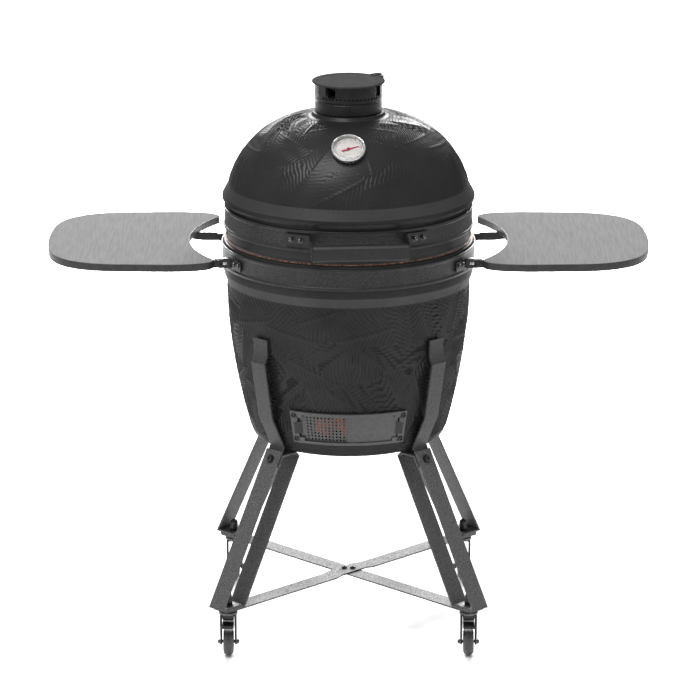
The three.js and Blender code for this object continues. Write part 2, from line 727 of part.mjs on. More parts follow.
function buildHinge() {
  const pinHole = rod('x', HINGE_PIN_RADIUS + 0.5, 200, [0, HINGE_Y, HINGE_Z], 16);
  const upperBand = LID_RADIUS + SHEET + BEAD_DEPTH + 2 * GAP;
  const lowerBand = RIM_RADIUS + SHEET + BEAD_DEPTH + 2 * GAP;
  const rearArc = spread(160, 200, 8);
  const upperFlange = bentPlate(rearArc, [LID_BAND_BOTTOM + 4, LID_BAND_BOTTOM + 40],
    () => upperBand, () => upperBand + HINGE_FLANGE);
  const upperEars = [-1, 1].map((side) => hingeEar(side * HINGE_UPPER_EAR_X, HINGE_EAR_WIDTH,
    upperBand - 1, LID_BAND_BOTTOM + 5, LID_BAND_BOTTOM + 38));
  add('hinge_upper_bracket', cut(join(upperFlange, ...upperEars), pinHole), 'black');
  const lowerFlange = bentPlate(rearArc, [BASE_BAND_BOTTOM + 5, BASE_BAND_BOTTOM + 41],
    () => lowerBand, () => lowerBand + HINGE_FLANGE);
  const lowerEars = [-1, 1].map((side) => hingeEar(side * HINGE_LOWER_EAR_X, HINGE_EAR_WIDTH,
    lowerBand - 3, BASE_BAND_BOTTOM + 6, BASE_BAND_BOTTOM + 40));
  add('hinge_lower_bracket', cut(join(lowerFlange, ...lowerEars), pinHole), 'black');
  const pin = rod('x', HINGE_PIN_RADIUS, HINGE_PIN_LENGTH, [0, HINGE_Y, HINGE_Z], 16);
  add('hinge_pin', pin, 'chrome');
}

// ---------------------------------------------------------------- side shelves

function shelfShape() {
  const tipY = Math.sqrt(SHELF_NOTCH ** 2 - (SHELF_INNER + 8) ** 2);
  const notchTurn = Math.atan2(tipY, SHELF_INNER + 8);
  const shape = new THREE.Shape();
  shape.absarc(0, 0, SHELF_NOTCH, notchTurn, -notchTurn, true);
  shape.quadraticCurveTo(SHELF_INNER - 1, -tipY - 8, SHELF_INNER + 8, -SHELF_HALF + 26);
  shape.quadraticCurveTo(SHELF_INNER + 42, -SHELF_HALF, SHELF_INNER + 100, -SHELF_HALF - 1);
  shape.lineTo(480, -SHELF_HALF + 4);
  shape.bezierCurveTo(575, -SHELF_HALF + 12, 612, -165, 620, -95);
  shape.bezierCurveTo(SHELF_TIP + 2, -35, SHELF_TIP + 2, 35, 620, 95);
  shape.bezierCurveTo(612, 165, 575, SHELF_HALF - 12, 480, SHELF_HALF - 4);
  shape.lineTo(SHELF_INNER + 100, SHELF_HALF + 1);
  shape.quadraticCurveTo(SHELF_INNER + 42, SHELF_HALF, SHELF_INNER + 8, SHELF_HALF - 26);
  shape.quadraticCurveTo(SHELF_INNER - 1, tipY + 8, SHELF_INNER + 8, tipY);
  return shape;
}

function buildShelves() {
  const bottom = SHELF_TOP - SHELF_THICKNESS;
  const armTop = bottom - GAP;
  for (const [side, name] of [[-1, 'left'], [1, 'right']]) {
    const slab = new THREE.ExtrudeGeometry(shelfShape(), {
      depth: SHELF_THICKNESS, bevelEnabled: false, curveSegments: 7,
    });
    const board = slab.translate(0, 0, bottom);
    const arms = [-1, 1].map((end) => {
      const plate = uprightPlate([
        [SHELF_PIVOT_X - 9, SHELF_PIVOT_Z - 8],
        [SHELF_PIVOT_X + 40, SHELF_PIVOT_Z - 8],
        [SHELF_PIVOT_X + SHELF_ARM_LENGTH, armTop - 4],
        [SHELF_PIVOT_X + SHELF_ARM_LENGTH, armTop],
        [SHELF_PIVOT_X - 9, armTop - 2],
      ], SHELF_STEEL);
      return plate.translate(0, end * (SHELF_BRACKET_Y + 5.5), 0);
    });
    const footMiddle = SHELF_BRACKET_Y - 4.5;
    const footHalf = 9.5;
    const feet = [-1, 1].map((end) => box(SHELF_PIVOT_X + 64, SHELF_PIVOT_X + SHELF_ARM_LENGTH,
      end * footMiddle - footHalf, end * footMiddle + footHalf, armTop - SHELF_STEEL, armTop));
    const tie = box(SHELF_PIVOT_X + 100, SHELF_PIVOT_X + 130, -SHELF_BRACKET_Y, SHELF_BRACKET_Y,
      armTop - SHELF_STEEL, armTop);
    const frame = join(...arms, ...feet, tie);
    if (side < 0) {
      board.rotateZ(Math.PI);
      frame.rotateZ(Math.PI);
    }
    add(`shelf_board_${name}`, board, 'shelf');
    add(`shelf_frame_${name}`, frame, 'black');
  }
}

// A bracket bolted to the base band: a flange that follows the band, and an arm with a folded top.
function buildShelfBrackets() {
  const bandOuter = RIM_RADIUS + SHEET + BEAD_DEPTH + 2 * GAP;
  const low = BASE_BAND_BOTTOM + 11;
  const high = SHELF_TOP - SHELF_THICKNESS - 1;
  const plateY = SHELF_BRACKET_Y;
  const turn = Math.asin(plateY / bandOuter) * 180 / Math.PI;
  const clearance = rod('z', bandOuter - 0.05, 60, [0, 0, (low + high) / 2], 96);
  for (const [side, sideName] of [[-1, 'left'], [1, 'right']]) {
    for (const [end, endName] of [[-1, 'front'], [1, 'rear']]) {
      const arm = uprightPlate([
        [bandOuter - 50, low],
        [SHELF_PIVOT_X, low],
        [SHELF_PIVOT_X + 9, low + 6],
        [SHELF_PIVOT_X + 9, high],
        [bandOuter - 50, high],
      ], SHELF_STEEL).translate(0, -plateY, 0);
      const fold = box(bandOuter - 50, SHELF_PIVOT_X + 9, -plateY, -plateY + 12,
        high - SHELF_STEEL, high);
      const flange = bentPlate(spread(80.9 - turn, 90.4 - turn, 3), [low, low + 10, high],
        () => bandOuter, () => bandOuter + SHELF_STEEL);
      const bracket = join(cut(join(arm, fold), clearance), flange);
      if (side < 0) {
        bracket.scale(-1, 1, 1);
      }
      if (end > 0) {
        bracket.scale(1, -1, 1);
      }
      add(`shelf_bracket_${endName}_${sideName}`, bracket, 'black');
    }
  }
}

// ---------------------------------------------------------------- stand

const corners = [
  ['front_left', 225],
  ['front_right', 315],
  ['rear_right', 45],
  ['rear_left', 135],
];

// The outer leg's distance from the grill's axis at a height, along its diagonal.
function legReachAt(z) {
  return LEG_REACH + (LEG_HEIGHT - z) * LEG_SPLAY;
}

function buildLegs() {
  const innerFoot = FOOT_BOTTOM + BRACE + GAP + STRAP / 2;
  const outerFoot = innerFoot + STRAP + GAP;
  const lap = (STRAP + GAP) * Math.hypot(1, LEG_SPLAY);
  const stemHole = rod('z', STEM_HOLE_RADIUS, 60, [STEM_REACH, 0, innerFoot], 12);
  const armLine = [
    [256, 668],
    [254.5, 634],
    [262.5, 617],
    [242, 498],
    [213.5, 440],
    [legReachAt(428) - lap, 428],
    [legReachAt(LEG_LAP_BOTTOM) - lap, LEG_LAP_BOTTOM],
  ];
  const outerLine = [
    [legReachAt(421), 421],
    [legReachAt(outerFoot), outerFoot],
    [STEM_REACH - 20, outerFoot],
  ];
  const innerReachAt = (z) => legReachAt(z) - LEG_SPACING;
  const innerLine = [
    [legReachAt(LEG_LAP_BOTTOM) - 2 * lap, LEG_LAP_BOTTOM],
    [legReachAt(410) - 2 * lap, 410],
    [innerReachAt(402) + 8, 410],
    [innerReachAt(402), 402],
    [innerReachAt(innerFoot), innerFoot],
    [STEM_REACH + FOOT_OVERHANG, innerFoot],
  ];
  for (const [name, bearing] of corners) {
    const turned = (geometry) => geometry.rotateZ(degrees(bearing));
    const arm = uprightPlate(stripOutline(armLine, STRAP), ARM_WIDTH);
    const outer = uprightPlate(stripOutline(outerLine, STRAP), STRAP_WIDTH);
    const inner = uprightPlate(stripOutline(innerLine, STRAP), STRAP_WIDTH);
    add(`support_arm_${name}`, turned(arm), 'strap');
    add(`leg_outer_${name}`, turned(cut(outer, stemHole)), 'strap');
    add(`leg_inner_${name}`, turned(cut(inner, stemHole)), 'strap');
  }
}

// Two flat bars between opposite feet. One steps up where it crosses the other.
function buildBraces() {
  const end = STEM_REACH + FOOT_OVERHANG;
  const low = FOOT_BOTTOM + BRACE / 2;
  const high = low + BRACE + GAP;
  const holes = [-1, 1].map((side) => (
    rod('z', STEM_HOLE_RADIUS, 40, [side * STEM_REACH, 0, low], 12)));
  const step = [[-55, low], [-35, high], [35, high], [55, low]];
  const stepped = stripOutline([[-end, low], ...step, [end, low]], BRACE);
  const flat = stripOutline([[-end, low], [end, low]], BRACE);
  const upper = cut(uprightPlate(stepped, ARM_WIDTH), ...holes);
  const lower = cut(uprightPlate(flat, ARM_WIDTH), ...holes);
  add('brace_upper', upper.rotateZ(degrees(45)), 'strap');
  add('brace_lower', lower.rotateZ(degrees(135)), 'strap');
}

// ---------------------------------------------------------------- casters

function forkGeometry() {
  const plateX = WHEEL_WIDTH / 2 + 3;
  const top = FOOT_BOTTOM - GAP;
  const cheek = [
    [-15, top - 8],
    [-15, top - 26],
    [WHEEL_TRAIL - 7, AXLE_HEIGHT - 5],
    [WHEEL_TRAIL + 7, AXLE_HEIGHT - 5],
    [16, top - 26],
    [15, top - 8],
  ];
  return join(
    sidePlate(cheek, FORK_SHEET, -plateX - FORK_SHEET / 2),
    sidePlate(cheek, FORK_SHEET, plateX + FORK_SHEET / 2),
    box(-plateX - FORK_SHEET, plateX + FORK_SHEET, -15, 15, top - 8 - FORK_SHEET, top - 8),
    rod('z', 17, 8.2, [0, 0, top - 4.1], 16),
    rod('z', 5, 30, [0, 0, top + 10], 8),
    rod('x', AXLE_RADIUS, 2 * plateX + 14, [0, WHEEL_TRAIL, AXLE_HEIGHT], 8),
  );
}

function wheelGeometry() {
  const half = WHEEL_WIDTH / 2;
  const bore = AXLE_RADIUS + 0.7;
  const profile = [
    [bore, -half],
    [WHEEL_RADIUS - 6, -half],
    [WHEEL_RADIUS, -half + 6],
    [WHEEL_RADIUS, half - 6],
    [WHEEL_RADIUS - 6, half],
    [bore, half],
  ];
  const wheel = revolve(profile, WHEEL_FACETS).rotateZ(Math.PI / WHEEL_FACETS);
  return wheel.rotateY(Math.PI / 2).translate(0, WHEEL_TRAIL, AXLE_HEIGHT);
}

// The foot pedal, a flat plate over the front of the tyre. At rest it is pressed down.
function brakeGeometry() {
  const outline = [
    [BRAKE_PIVOT_Y + 5, BRAKE_PIVOT_Z - 4],
    [BRAKE_PIVOT_Y + 5, BRAKE_PIVOT_Z + 4],
    [BRAKE_PIVOT_Y - 8, BRAKE_PIVOT_Z + 4],
    [-29, BRAKE_PIVOT_Z + 2],
    [-31, BRAKE_PIVOT_Z - 1],
    [-29, BRAKE_PIVOT_Z - 4],
  ];
  return sidePlate(outline, WHEEL_WIDTH + 2, 0);
}

function buildCasters() {
  for (const [name, bearing] of corners) {
    const group = new THREE.Group();
    const turn = degrees(bearing);
    group.position.set(STEM_REACH * Math.cos(turn), STEM_REACH * Math.sin(turn), 0);
    grill.add(group);
    add(`caster_fork_${name}`, forkGeometry(), 'black', group);
    add(`caster_wheel_${name}`, wheelGeometry(), 'tread', group);
    if (name.startsWith('front')) {
      add(`caster_brake_${name}`, brakeGeometry(), 'black', group);
    }
  }
}

// ---------------------------------------------------------------- the whole grill

buildBowl();
buildBaseTrim();
buildFirebox();
buildCharcoalGrate();
buildCookingGrate();
buildVentFrame();
buildVentPlates();
buildLidDome();
buildLidTrim();
buildThermometer();
buildHandle();
buildDamper();
buildDamperCap();
buildHinge();
buildShelves();
buildShelfBrackets();
buildLegs();
buildBraces();
buildCasters();

export default grill;
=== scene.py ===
import math
import random

import bmesh
import bpy
import numpy as np
from mathutils import Matrix, Vector


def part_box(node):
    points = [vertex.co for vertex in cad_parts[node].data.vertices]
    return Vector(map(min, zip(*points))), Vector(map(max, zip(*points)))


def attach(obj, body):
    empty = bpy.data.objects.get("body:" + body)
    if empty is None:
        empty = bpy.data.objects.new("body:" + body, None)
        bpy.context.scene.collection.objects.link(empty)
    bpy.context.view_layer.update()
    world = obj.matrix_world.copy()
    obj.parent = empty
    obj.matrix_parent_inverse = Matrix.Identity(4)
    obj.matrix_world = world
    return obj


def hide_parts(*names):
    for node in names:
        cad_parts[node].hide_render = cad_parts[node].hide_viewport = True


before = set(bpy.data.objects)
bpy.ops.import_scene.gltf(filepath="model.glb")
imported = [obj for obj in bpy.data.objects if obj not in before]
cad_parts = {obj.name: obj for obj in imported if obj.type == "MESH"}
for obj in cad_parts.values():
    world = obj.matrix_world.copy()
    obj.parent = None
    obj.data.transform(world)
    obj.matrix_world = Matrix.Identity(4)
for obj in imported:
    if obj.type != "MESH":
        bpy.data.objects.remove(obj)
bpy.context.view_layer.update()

# A kamado ceramic grill: the visible pieces of the object, built round its fixed frame.
# Builders work in millimetres, and make_object turns them into metres.

MM = 0.001
FRONT = 3 * math.pi / 2         # the bearing of the grill's front, in radians
SIDES = ((-1, "left"), (1, "right"))
CORNERS = (("front_left", 225), ("front_right", 315), ("rear_right", 45), ("rear_left", 135))
rng = random.Random(11)


def box_mm(node):
    """A CAD node's lowest and highest corners, in millimetres."""
    low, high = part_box(node)
    return low / MM, high / MM


# ---------------- mesh parts
# A part is (vertices in millimetres, faces). Parts are turned, placed and joined before they
# become one piece.

def bezier(controls, count):
    """count + 1 points along the curve of its controls, however many they are."""
    curve = []
    for i in range(count + 1):
        t = i / count
        row = np.array(controls, float)
        while len(row) > 1:
            row = (1 - t) * row[:-1] + t * row[1:]
        curve.append(tuple(row[0]))
    return curve


def rounded(points, radius, steps=4):
    """An open outline with its inner corners filleted. A point may carry its own radius."""
    result = [tuple(points[0][:2])]
    for before, here, after in zip(points, points[1:], points[2:]):
        fillet = here[2] if len(here) > 2 else radius
        corner = np.array(here[:2], float)
        back = np.array(before[:2], float) - corner
        ahead = np.array(after[:2], float) - corner
        reach = min(fillet, 0.45 * np.linalg.norm(back), 0.45 * np.linalg.norm(ahead))
        start = corner + back / np.linalg.norm(back) * reach
        end = corner + ahead / np.linalg.norm(ahead) * reach
        result += bezier((start, corner, end), steps)
    result.append(tuple(points[-1][:2]))
    return result


def turned(profile, segments, relief=None):
    """A solid of revolution about Z. A profile that starts and ends on the axis is capped by
    poles, and any other is closed on itself. relief(angles, row) gives outward offsets."""
    on_axis = profile[0][0] < 1e-6 and profile[-1][0] < 1e-6
    rows = list(profile[1:-1]) if on_axis else list(profile)
    angles = np.arange(segments) * 2 * math.pi / segments
    points = []
    for row, (radius, height) in enumerate(rows):
        radii = np.full(segments, float(radius))
        heights = np.full(segments, float(height))
        if relief is not None:
            offset = relief(angles, row)
            before = rows[max(0, row - 1)]
            after = rows[min(len(rows) - 1, row + 1)]
            along = np.array([after[0] - before[0], after[1] - before[1]], float)
            along /= np.linalg.norm(along)
            radii += offset * along[1]
            heights -= offset * along[0]
        points.append(np.stack([radii * np.cos(angles), radii * np.sin(angles), heights], 1))
    vertices = np.concatenate(points)
    faces = []
    count = len(rows)
    for row in range(count - 1 if on_axis else count):
        low, high = row * segments, (row + 1) % count * segments
        for i in range(segments):
            j = (i + 1) % segments
            faces.append((low + i, low + j, high + j, high + i))
    if on_axis:
        first, last = len(vertices), len(vertices) + 1
        vertices = np.concatenate([vertices, [[0, 0, profile[0][1]], [0, 0, profile[-1][1]]]])
        top = (count - 1) * segments
        for i in range(segments):
            j = (i + 1) % segments
            faces.append((first, j, i))
            faces.append((top + i, top + j, last))
    return vertices, faces


def block(x0, x1, y0, y1, z0, z1):
    vertices = [(x, y, z) for z in (z0, z1) for y in (y0, y1) for x in (x0, x1)]
    faces = [(0, 2, 3, 1), (4, 5, 7, 6), (0, 1, 5, 4), (2, 6, 7, 3), (0, 4, 6, 2), (1, 3, 7, 5)]
    return np.array(vertices, float), faces


def prism(outline, low, high):
    """An outline in X and Y, extruded from low to high."""
    count = len(outline)
    flat = np.array([point[:2] for point in outline], float)
    vertices = np.concatenate([np.column_stack([flat, np.full(count, float(z))]) for z in (low, high)])
    faces = [tuple(reversed(range(count))), tuple(range(count, 2 * count))]
    for i in range(count):
        j = (i + 1) % count
        faces.append((i, j, count + j, count + i))
    return vertices, faces


def rounded_block(x0, x1, y0, y1, z0, z1, edge=1.0):
    """A block with its four upright edges rounded."""
    outline = []
    for i, (x, y) in enumerate(((x1, y1), (x0, y1), (x0, y0), (x1, y0))):
        x -= edge if x == x1 else -edge
        y -= edge if y == y1 else -edge
        for k in range(4):
            turn = math.radians(90 * i + 30 * k)
            outline.append((x + edge * math.cos(turn), y + edge * math.sin(turn)))
    return prism(outline, z0, z1)


def tube(path, radius, sides=12):
    """A round rod along a path of points, with flat ends."""
    points = [Vector(p) for p in path]
    vertices = []
    normal = None
    for i, point in enumerate(points):
        ahead = (points[min(i + 1, len(points) - 1)] - points[max(i - 1, 0)]).normalized()
        if normal is None:
            normal = ahead.orthogonal().normalized()
        normal = (normal - ahead * normal.dot(ahead)).normalized()
        across = ahead.cross(normal)
        for k in range(sides):
            turn = 2 * math.pi * k / sides
            vertices.append(tuple(point + normal * radius * math.cos(turn)
                                  + across * radius * math.sin(turn)))
    faces = [tuple(reversed(range(sides)))]
    for i in range(len(points) - 1):
        for k in range(sides):
            n = (k + 1) % sides
            faces.append((i * sides + k, i * sides + n, (i + 1) * sides + n, (i + 1) * sides + k))
    last = (len(points) - 1) * sides
    faces.append(tuple(range(last, last + sides)))
    return np.array(vertices, float), faces


def joined(*parts):
    vertices, faces, start = [], [], 0
    for part_vertices, part_faces in parts:
        vertices.append(part_vertices)
        faces += [tuple(index + start for index in face) for face in part_faces]
        start += len(part_vertices)
    return np.concatenate(vertices), faces


def moved(part, matrix):
    """A part put through a 4 by 4 matrix."""
    vertices, faces = part
    grid = np.array(matrix, float)
    result = vertices @ grid[:3, :3].T + grid[:3, 3]
    if np.linalg.det(grid[:3, :3]) < 0:
        faces = [tuple(reversed(face)) for face in faces]
    return result, faces


def placed(part, position, direction, roll=0.0):
    """A part whose own +Z is pointed along direction, at position."""
    turn = Vector(direction).to_track_quat("Z", "Y").to_matrix().to_4x4()
    return moved(part, Matrix.Translation(position) @ turn @ Matrix.Rotation(roll, 4, "Z"))


def about_z(degrees):
    return Matrix.Rotation(math.radians(degrees), 4, "Z")


def at(part, x, y, z):
    return moved(part, Matrix.Translation((x, y, z)))


def on_ring(degrees, radius, z):
    """A point by its angle from the front and its radius, and the outward direction there."""
    turn = math.radians(degrees)
    ahead = (math.sin(turn), -math.cos(turn), 0)
    return (radius * ahead[0], radius * ahead[1], z), ahead


# ---------------- pieces

def dress(obj, material, body, stands_for=()):
    obj.data.materials.clear()
    obj.data.materials.append(material)
    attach(obj, body)
    if stands_for:
        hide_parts(*stands_for)
    return obj


def smooth(mesh, angle):
    mesh.polygons.foreach_set("use_smooth", [True] * len(mesh.polygons))
    mesh.set_sharp_from_angle(angle=math.radians(angle))


def make_object(name, part):
    vertices, faces = part
    mesh = bpy.data.meshes.new(name)
    mesh.from_pydata((vertices * MM).tolist(), [], faces)
    mesh.validate()
    obj = bpy.data.objects.new(name, mesh)
    bpy.context.scene.collection.objects.link(obj)
    return obj


def keep_evaluated(obj):
    """Applies an object's modifiers to its mesh."""
    bpy.context.view_layer.update()
    graph = bpy.context.evaluated_depsgraph_get()
    result = bpy.data.meshes.new_from_object(obj.evaluated_get(graph))
    obj.modifiers.clear()
    obj.data = result


def cut_out(obj, *tools):
    """Cuts parts out of an object."""
    for tool in tools:
        cutter = make_object("cutter", tool)
        boolean = obj.modifiers.new("cut", "BOOLEAN")
        boolean.operation = "DIFFERENCE"
        boolean.solver = "EXACT"
        boolean.object = cutter
        keep_evaluated(obj)
        bpy.data.objects.remove(cutter)


def even_normals(obj):
    """Keeps flat faces flat beside their rounded edges."""
    weighted = obj.modifiers.new("weighted", "WEIGHTED_NORMAL")
    weighted.keep_sharp = True


def make_piece(name, part, material, body, stands_for=(), angle=35, cuts=()):
    obj = make_object(name, part)
    if cuts:
        cut_out(obj, *cuts)
    smooth(obj.data, angle)
    return dress(obj, material, body, stands_for)


def trim(name, material, body, *parts):
    """Fasteners and other small fittings, which stand for no CAD node."""
    make_piece(name, joined(*parts), material, body)


def second_coat(obj, material, is_chosen):
    """Gives some faces a second material. is_chosen is asked with a face's distance from the
    grill's axis, its height, and the Z of its normal."""
    obj.data.materials.append(material)
    for face in obj.data.polygons:
        x, y, z = face.center / MM
        if is_chosen(math.hypot(x, y), z, face.normal.z):
            face.material_index = 1


def soften(obj, bevel, steps=2, angle=28):
    """Rounds an object's sharp edges, after joining its flat faces."""
    mesh = bmesh.new()
    mesh.from_mesh(obj.data)
    bmesh.ops.remove_doubles(mesh, verts=mesh.verts, dist=2e-6)
    bmesh.ops.dissolve_limit(mesh, angle_limit=math.radians(1.5), verts=mesh.verts, edges=mesh.edges)
    sharp = [edge for edge in mesh.edges
             if len(edge.link_faces) == 2 and edge.calc_face_angle() > math.radians(angle)]
    bmesh.ops.bevel(mesh, geom=sharp, offset=bevel * MM, segments=steps, profile=0.5,
                    affect="EDGES", clamp_overlap=True)
    mesh.to_mesh(obj.data)
    mesh.free()
    smooth(obj.data, 40)
    even_normals(obj)


def refined(node, material, body, bevel, cuts=()):
    """A CAD node's own shape with holes cut in it and its edges rounded, in the node's place."""
    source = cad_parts[node]
    obj = bpy.data.objects.new(f"{node}_finished", source.data.copy())
    bpy.context.scene.collection.objects.link(obj)
    mesh = bmesh.new()
    mesh.from_mesh(obj.data)
    bmesh.ops.remove_doubles(mesh, verts=mesh.verts, dist=2e-6)
    mesh.to_mesh(obj.data)
    mesh.free()
    if cuts:
        cut_out(obj, *cuts)
    soften(obj, bevel)
    return dress(obj, material, body, (node,))


# ---------------- materials

class Finish:
    """A node material in the making: one Principled shader, with noise in object coordinates."""

    def __init__(self, name, **values):
        self.material = bpy.data.materials.new(name)
        self.material.use_nodes = True
        self.nodes = self.material.node_tree.nodes
        self.links = self.material.node_tree.links
        self.shader = self.nodes["Principled BSDF"]
        self.place = self.nodes.new("ShaderNodeTexCoord").outputs["Object"]
        for socket, value in values.items():
            self.shader.inputs[socket.replace("_", " ")].default_value = value

    def stretched(self, scale):
        mapping = self.nodes.new("ShaderNodeMapping")
        mapping.inputs["Scale"].default_value = scale
        self.links.new(self.place, mapping.inputs["Vector"])
        return mapping.outputs["Vector"]

    def noise(self, scale, detail=3.0, stretch=None):
        texture = self.nodes.new("ShaderNodeTexNoise")
        texture.inputs["Scale"].default_value = scale
        texture.inputs["Detail"].default_value = detail
        place = self.place if stretch is None else self.stretched(stretch)
        self.links.new(place, texture.inputs["Vector"])
        return texture.outputs["Fac"]

    def ramp(self, factor, stops):
        """Colours by factor, between two (position, value) stops. A single number is a grey."""
        node = self.nodes.new("ShaderNodeValToRGB")
        for element, (position, value) in zip(node.color_ramp.elements, stops):
            element.position = position
            colour = (value,) * 3 if isinstance(value, float) else value
            element.color = (*colour, 1.0)
        self.links.new(factor, node.inputs["Fac"])
        return node.outputs["Color"]

    def colour(self, factor, stops):
        self.links.new(self.ramp(factor, stops), self.shader.inputs["Base Color"])

    def roughness(self, factor, low, high):
        self.links.new(self.ramp(factor, shades(low, high)), self.shader.inputs["Roughness"])

    def bump(self, height, distance, strength=1.0):
        node = self.nodes.new("ShaderNodeBump")
        node.inputs["Distance"].default_value = distance
        node.inputs["Strength"].default_value = strength
        self.links.new(height, node.inputs["Height"])
        self.links.new(node.outputs["Normal"], self.shader.inputs["Normal"])
        return self


def shades(low, high, start=0.3, end=0.7):
    """The two stops of a ramp between two colours or greys."""
    return (start, low), (end, high)


def coat(name, speckle, colours, gloss=None, grain=None, **values):
    """A material whose colour, roughness and bump each follow their own noise.

    speckle is the colour noise's scale and detail. gloss is the roughness noise's scale and its
    lowest and highest roughness. grain is the bump noise's scale and detail, then the bump's
    distance and strength."""
    finish = Finish(name, **values)
    finish.colour(finish.noise(*speckle), colours)
    if gloss is not None:
        finish.roughness(finish.noise(gloss[0]), *gloss[1:])
    if grain is not None:
        finish.bump(finish.noise(*grain[:2]), *grain[2:])
    return finish.material


def make_shelf_top():
    """Long brushed grain that runs front to back."""
    finish = Finish("shelf_grey_grain", Specular_IOR_Level=0.0)
    grain = finish.noise(20.0, 6.0, (16.0, 0.8, 1.0))
    finish.colour(grain, shades(0.148, 0.184, 0.32, 0.68))
    finish.roughness(finish.noise(20.0, 3.0, (12.0, 1.0, 1.0)), 0.6, 0.75)
    return finish.bump(grain, 0.0002, 0.4).material


def make_embers():
    """Charcoal with glowing patches."""
    finish = Finish("glowing_charcoal", Roughness=0.9)
    finish.colour(finish.noise(150.0), shades(0.01, 0.03))
    glow = finish.ramp(finish.noise(38.0, 2.0), shades(0.0, (0.60, 0.07, 0.012), 0.40, 0.62))
    finish.links.new(glow, finish.shader.inputs["Emission Color"])
    finish.shader.inputs["Emission Strength"].default_value = 0.5
    return finish.bump(finish.noise(120.0, 5.0), 0.002, 0.8).material


# The ceramic's glaze is half metallic and has no dielectric gloss, so its flanks stay dark.
GLAZE = {"Metallic": 0.5, "Specular_IOR_Level": 0.0, "Specular_Tint": (0.6, 0.6, 0.6, 1.0)}
CERAMIC = coat("glazed_ceramic", (9.0,), shades(0.026, 0.036), (35.0, 0.28, 0.38),
               (260.0, 3.0, 0.0005, 0.5), **GLAZE)
# The rims' smooth glaze is lighter than the ceramic: the extra lightness is a painted reflection on
# the smooth bevels, and its finer bump is the glaze's own smoothness.
SMOOTH_GLAZE_PAINTED_REFLECTION = coat("smooth_glaze_painted_reflection", (12.0,), shades(0.048, 0.058), (40.0, 0.34, 0.42),
              (300.0, 3.0, 0.0002, 0.4), **GLAZE)
FIRECLAY = coat("raw_fireclay", (18.0, 5.0), shades((0.36, 0.30, 0.22), (0.52, 0.46, 0.37)),
                grain=(180.0, 5.0, 0.0007, 0.8), Roughness=0.92)

# Powder coats, whose coarse grains catch the light.
BAND = coat("band_powder_coat", (620.0, 1.0), shades(0.006, 0.037, 0.42, 0.60),
            (300.0, 0.36, 0.6), (560.0, 1.0, 0.0007, 0.8), Specular_IOR_Level=0.3)
STRAP = coat("leg_powder_coat", (620.0, 1.0), shades(0.035, 0.115, 0.40, 0.62),
             (300.0, 0.42, 0.6), (560.0, 1.0, 0.0004, 0.6), Specular_IOR_Level=0.3)
ARM = coat("arm_powder_coat", (620.0, 1.0), shades(0.016, 0.050, 0.40, 0.62),
           (300.0, 0.42, 0.6), (560.0, 1.0, 0.0004, 0.6), Specular_IOR_Level=0.3)
# The brace coat is a light grey that paints the light on the braces' top faces; their upright faces
# are made black below.
BRACE = coat("brace_coat_painted_top_light", (520.0, 1.0), shades(0.18, 0.46, 0.40, 0.62),
             (300.0, 0.4, 0.58), (520.0, 1.0, 0.0004, 0.6), Specular_IOR_Level=0.0)

# Smooth coats.
BEAD = coat("band_edge_coat", (60.0,), shades(0.014, 0.020), (200.0, 0.32, 0.42),
            (800.0, 3.0, 0.0001, 0.4), Specular_IOR_Level=0.3)
BLACK = coat("black_satin_steel", (80.0,), shades(0.006, 0.012), (240.0, 0.3, 0.44),
             (900.0, 3.0, 0.0001, 0.5), Specular_IOR_Level=0.4)
HANDLE = coat("handle_coat", (70.0,), shades(0.010, 0.015), (200.0, 0.36, 0.48),
              (900.0, 3.0, 0.00012, 0.5), Specular_IOR_Level=0.35)
IRON = coat("enamelled_cast_iron", (40.0,), shades(0.006, 0.012), (160.0, 0.22, 0.40),
            (300.0, 4.0, 0.0012, 0.9), Specular_IOR_Level=0.2)
# The cap's grey is lighter than the iron: partly the cap's own matt grey, partly painted light, so its
# side tab shows a glint.
CAP = coat("cap_grey_painted_glint", (60.0,), shades(0.040, 0.050), (200.0, 0.5, 0.65),
           (420.0, 3.0, 0.0004, 0.5), Specular_IOR_Level=0.0)
VENT = coat("vent_steel_coat", (120.0,), shades(0.058, 0.076), (260.0, 0.34, 0.46),
            (800.0, 3.0, 0.0001, 0.4), Specular_IOR_Level=0.35)
# Painted shade: the door's dimples are flat patches in a darker grey than the vent steel.
VENT_DIMPLE_PAINTED_SHADE = coat("vent_dimple_painted_shade", (300.0,), shades(0.035, 0.045), (400.0, 0.5, 0.6))

# Bare metals.
CHROME = coat("polished_chrome", (30.0,), shades(0.52, 0.62), (150.0, 0.24, 0.34), Metallic=1.0)
SCREW = coat("bright_screw_steel", (200.0,), shades(0.06, 0.13), (400.0, 0.16, 0.28), Metallic=1.0)
GRATE = coat("grate_rod_steel", (60.0,), shades(0.42, 0.56), (300.0, 0.24, 0.4), Metallic=1.0)
COPPER = coat("copper_stitch", (260.0,), shades((0.05, 0.02, 0.01), (0.42, 0.16, 0.08), 0.4, 0.6),
              (300.0, 0.4, 0.6), Metallic=0.6)

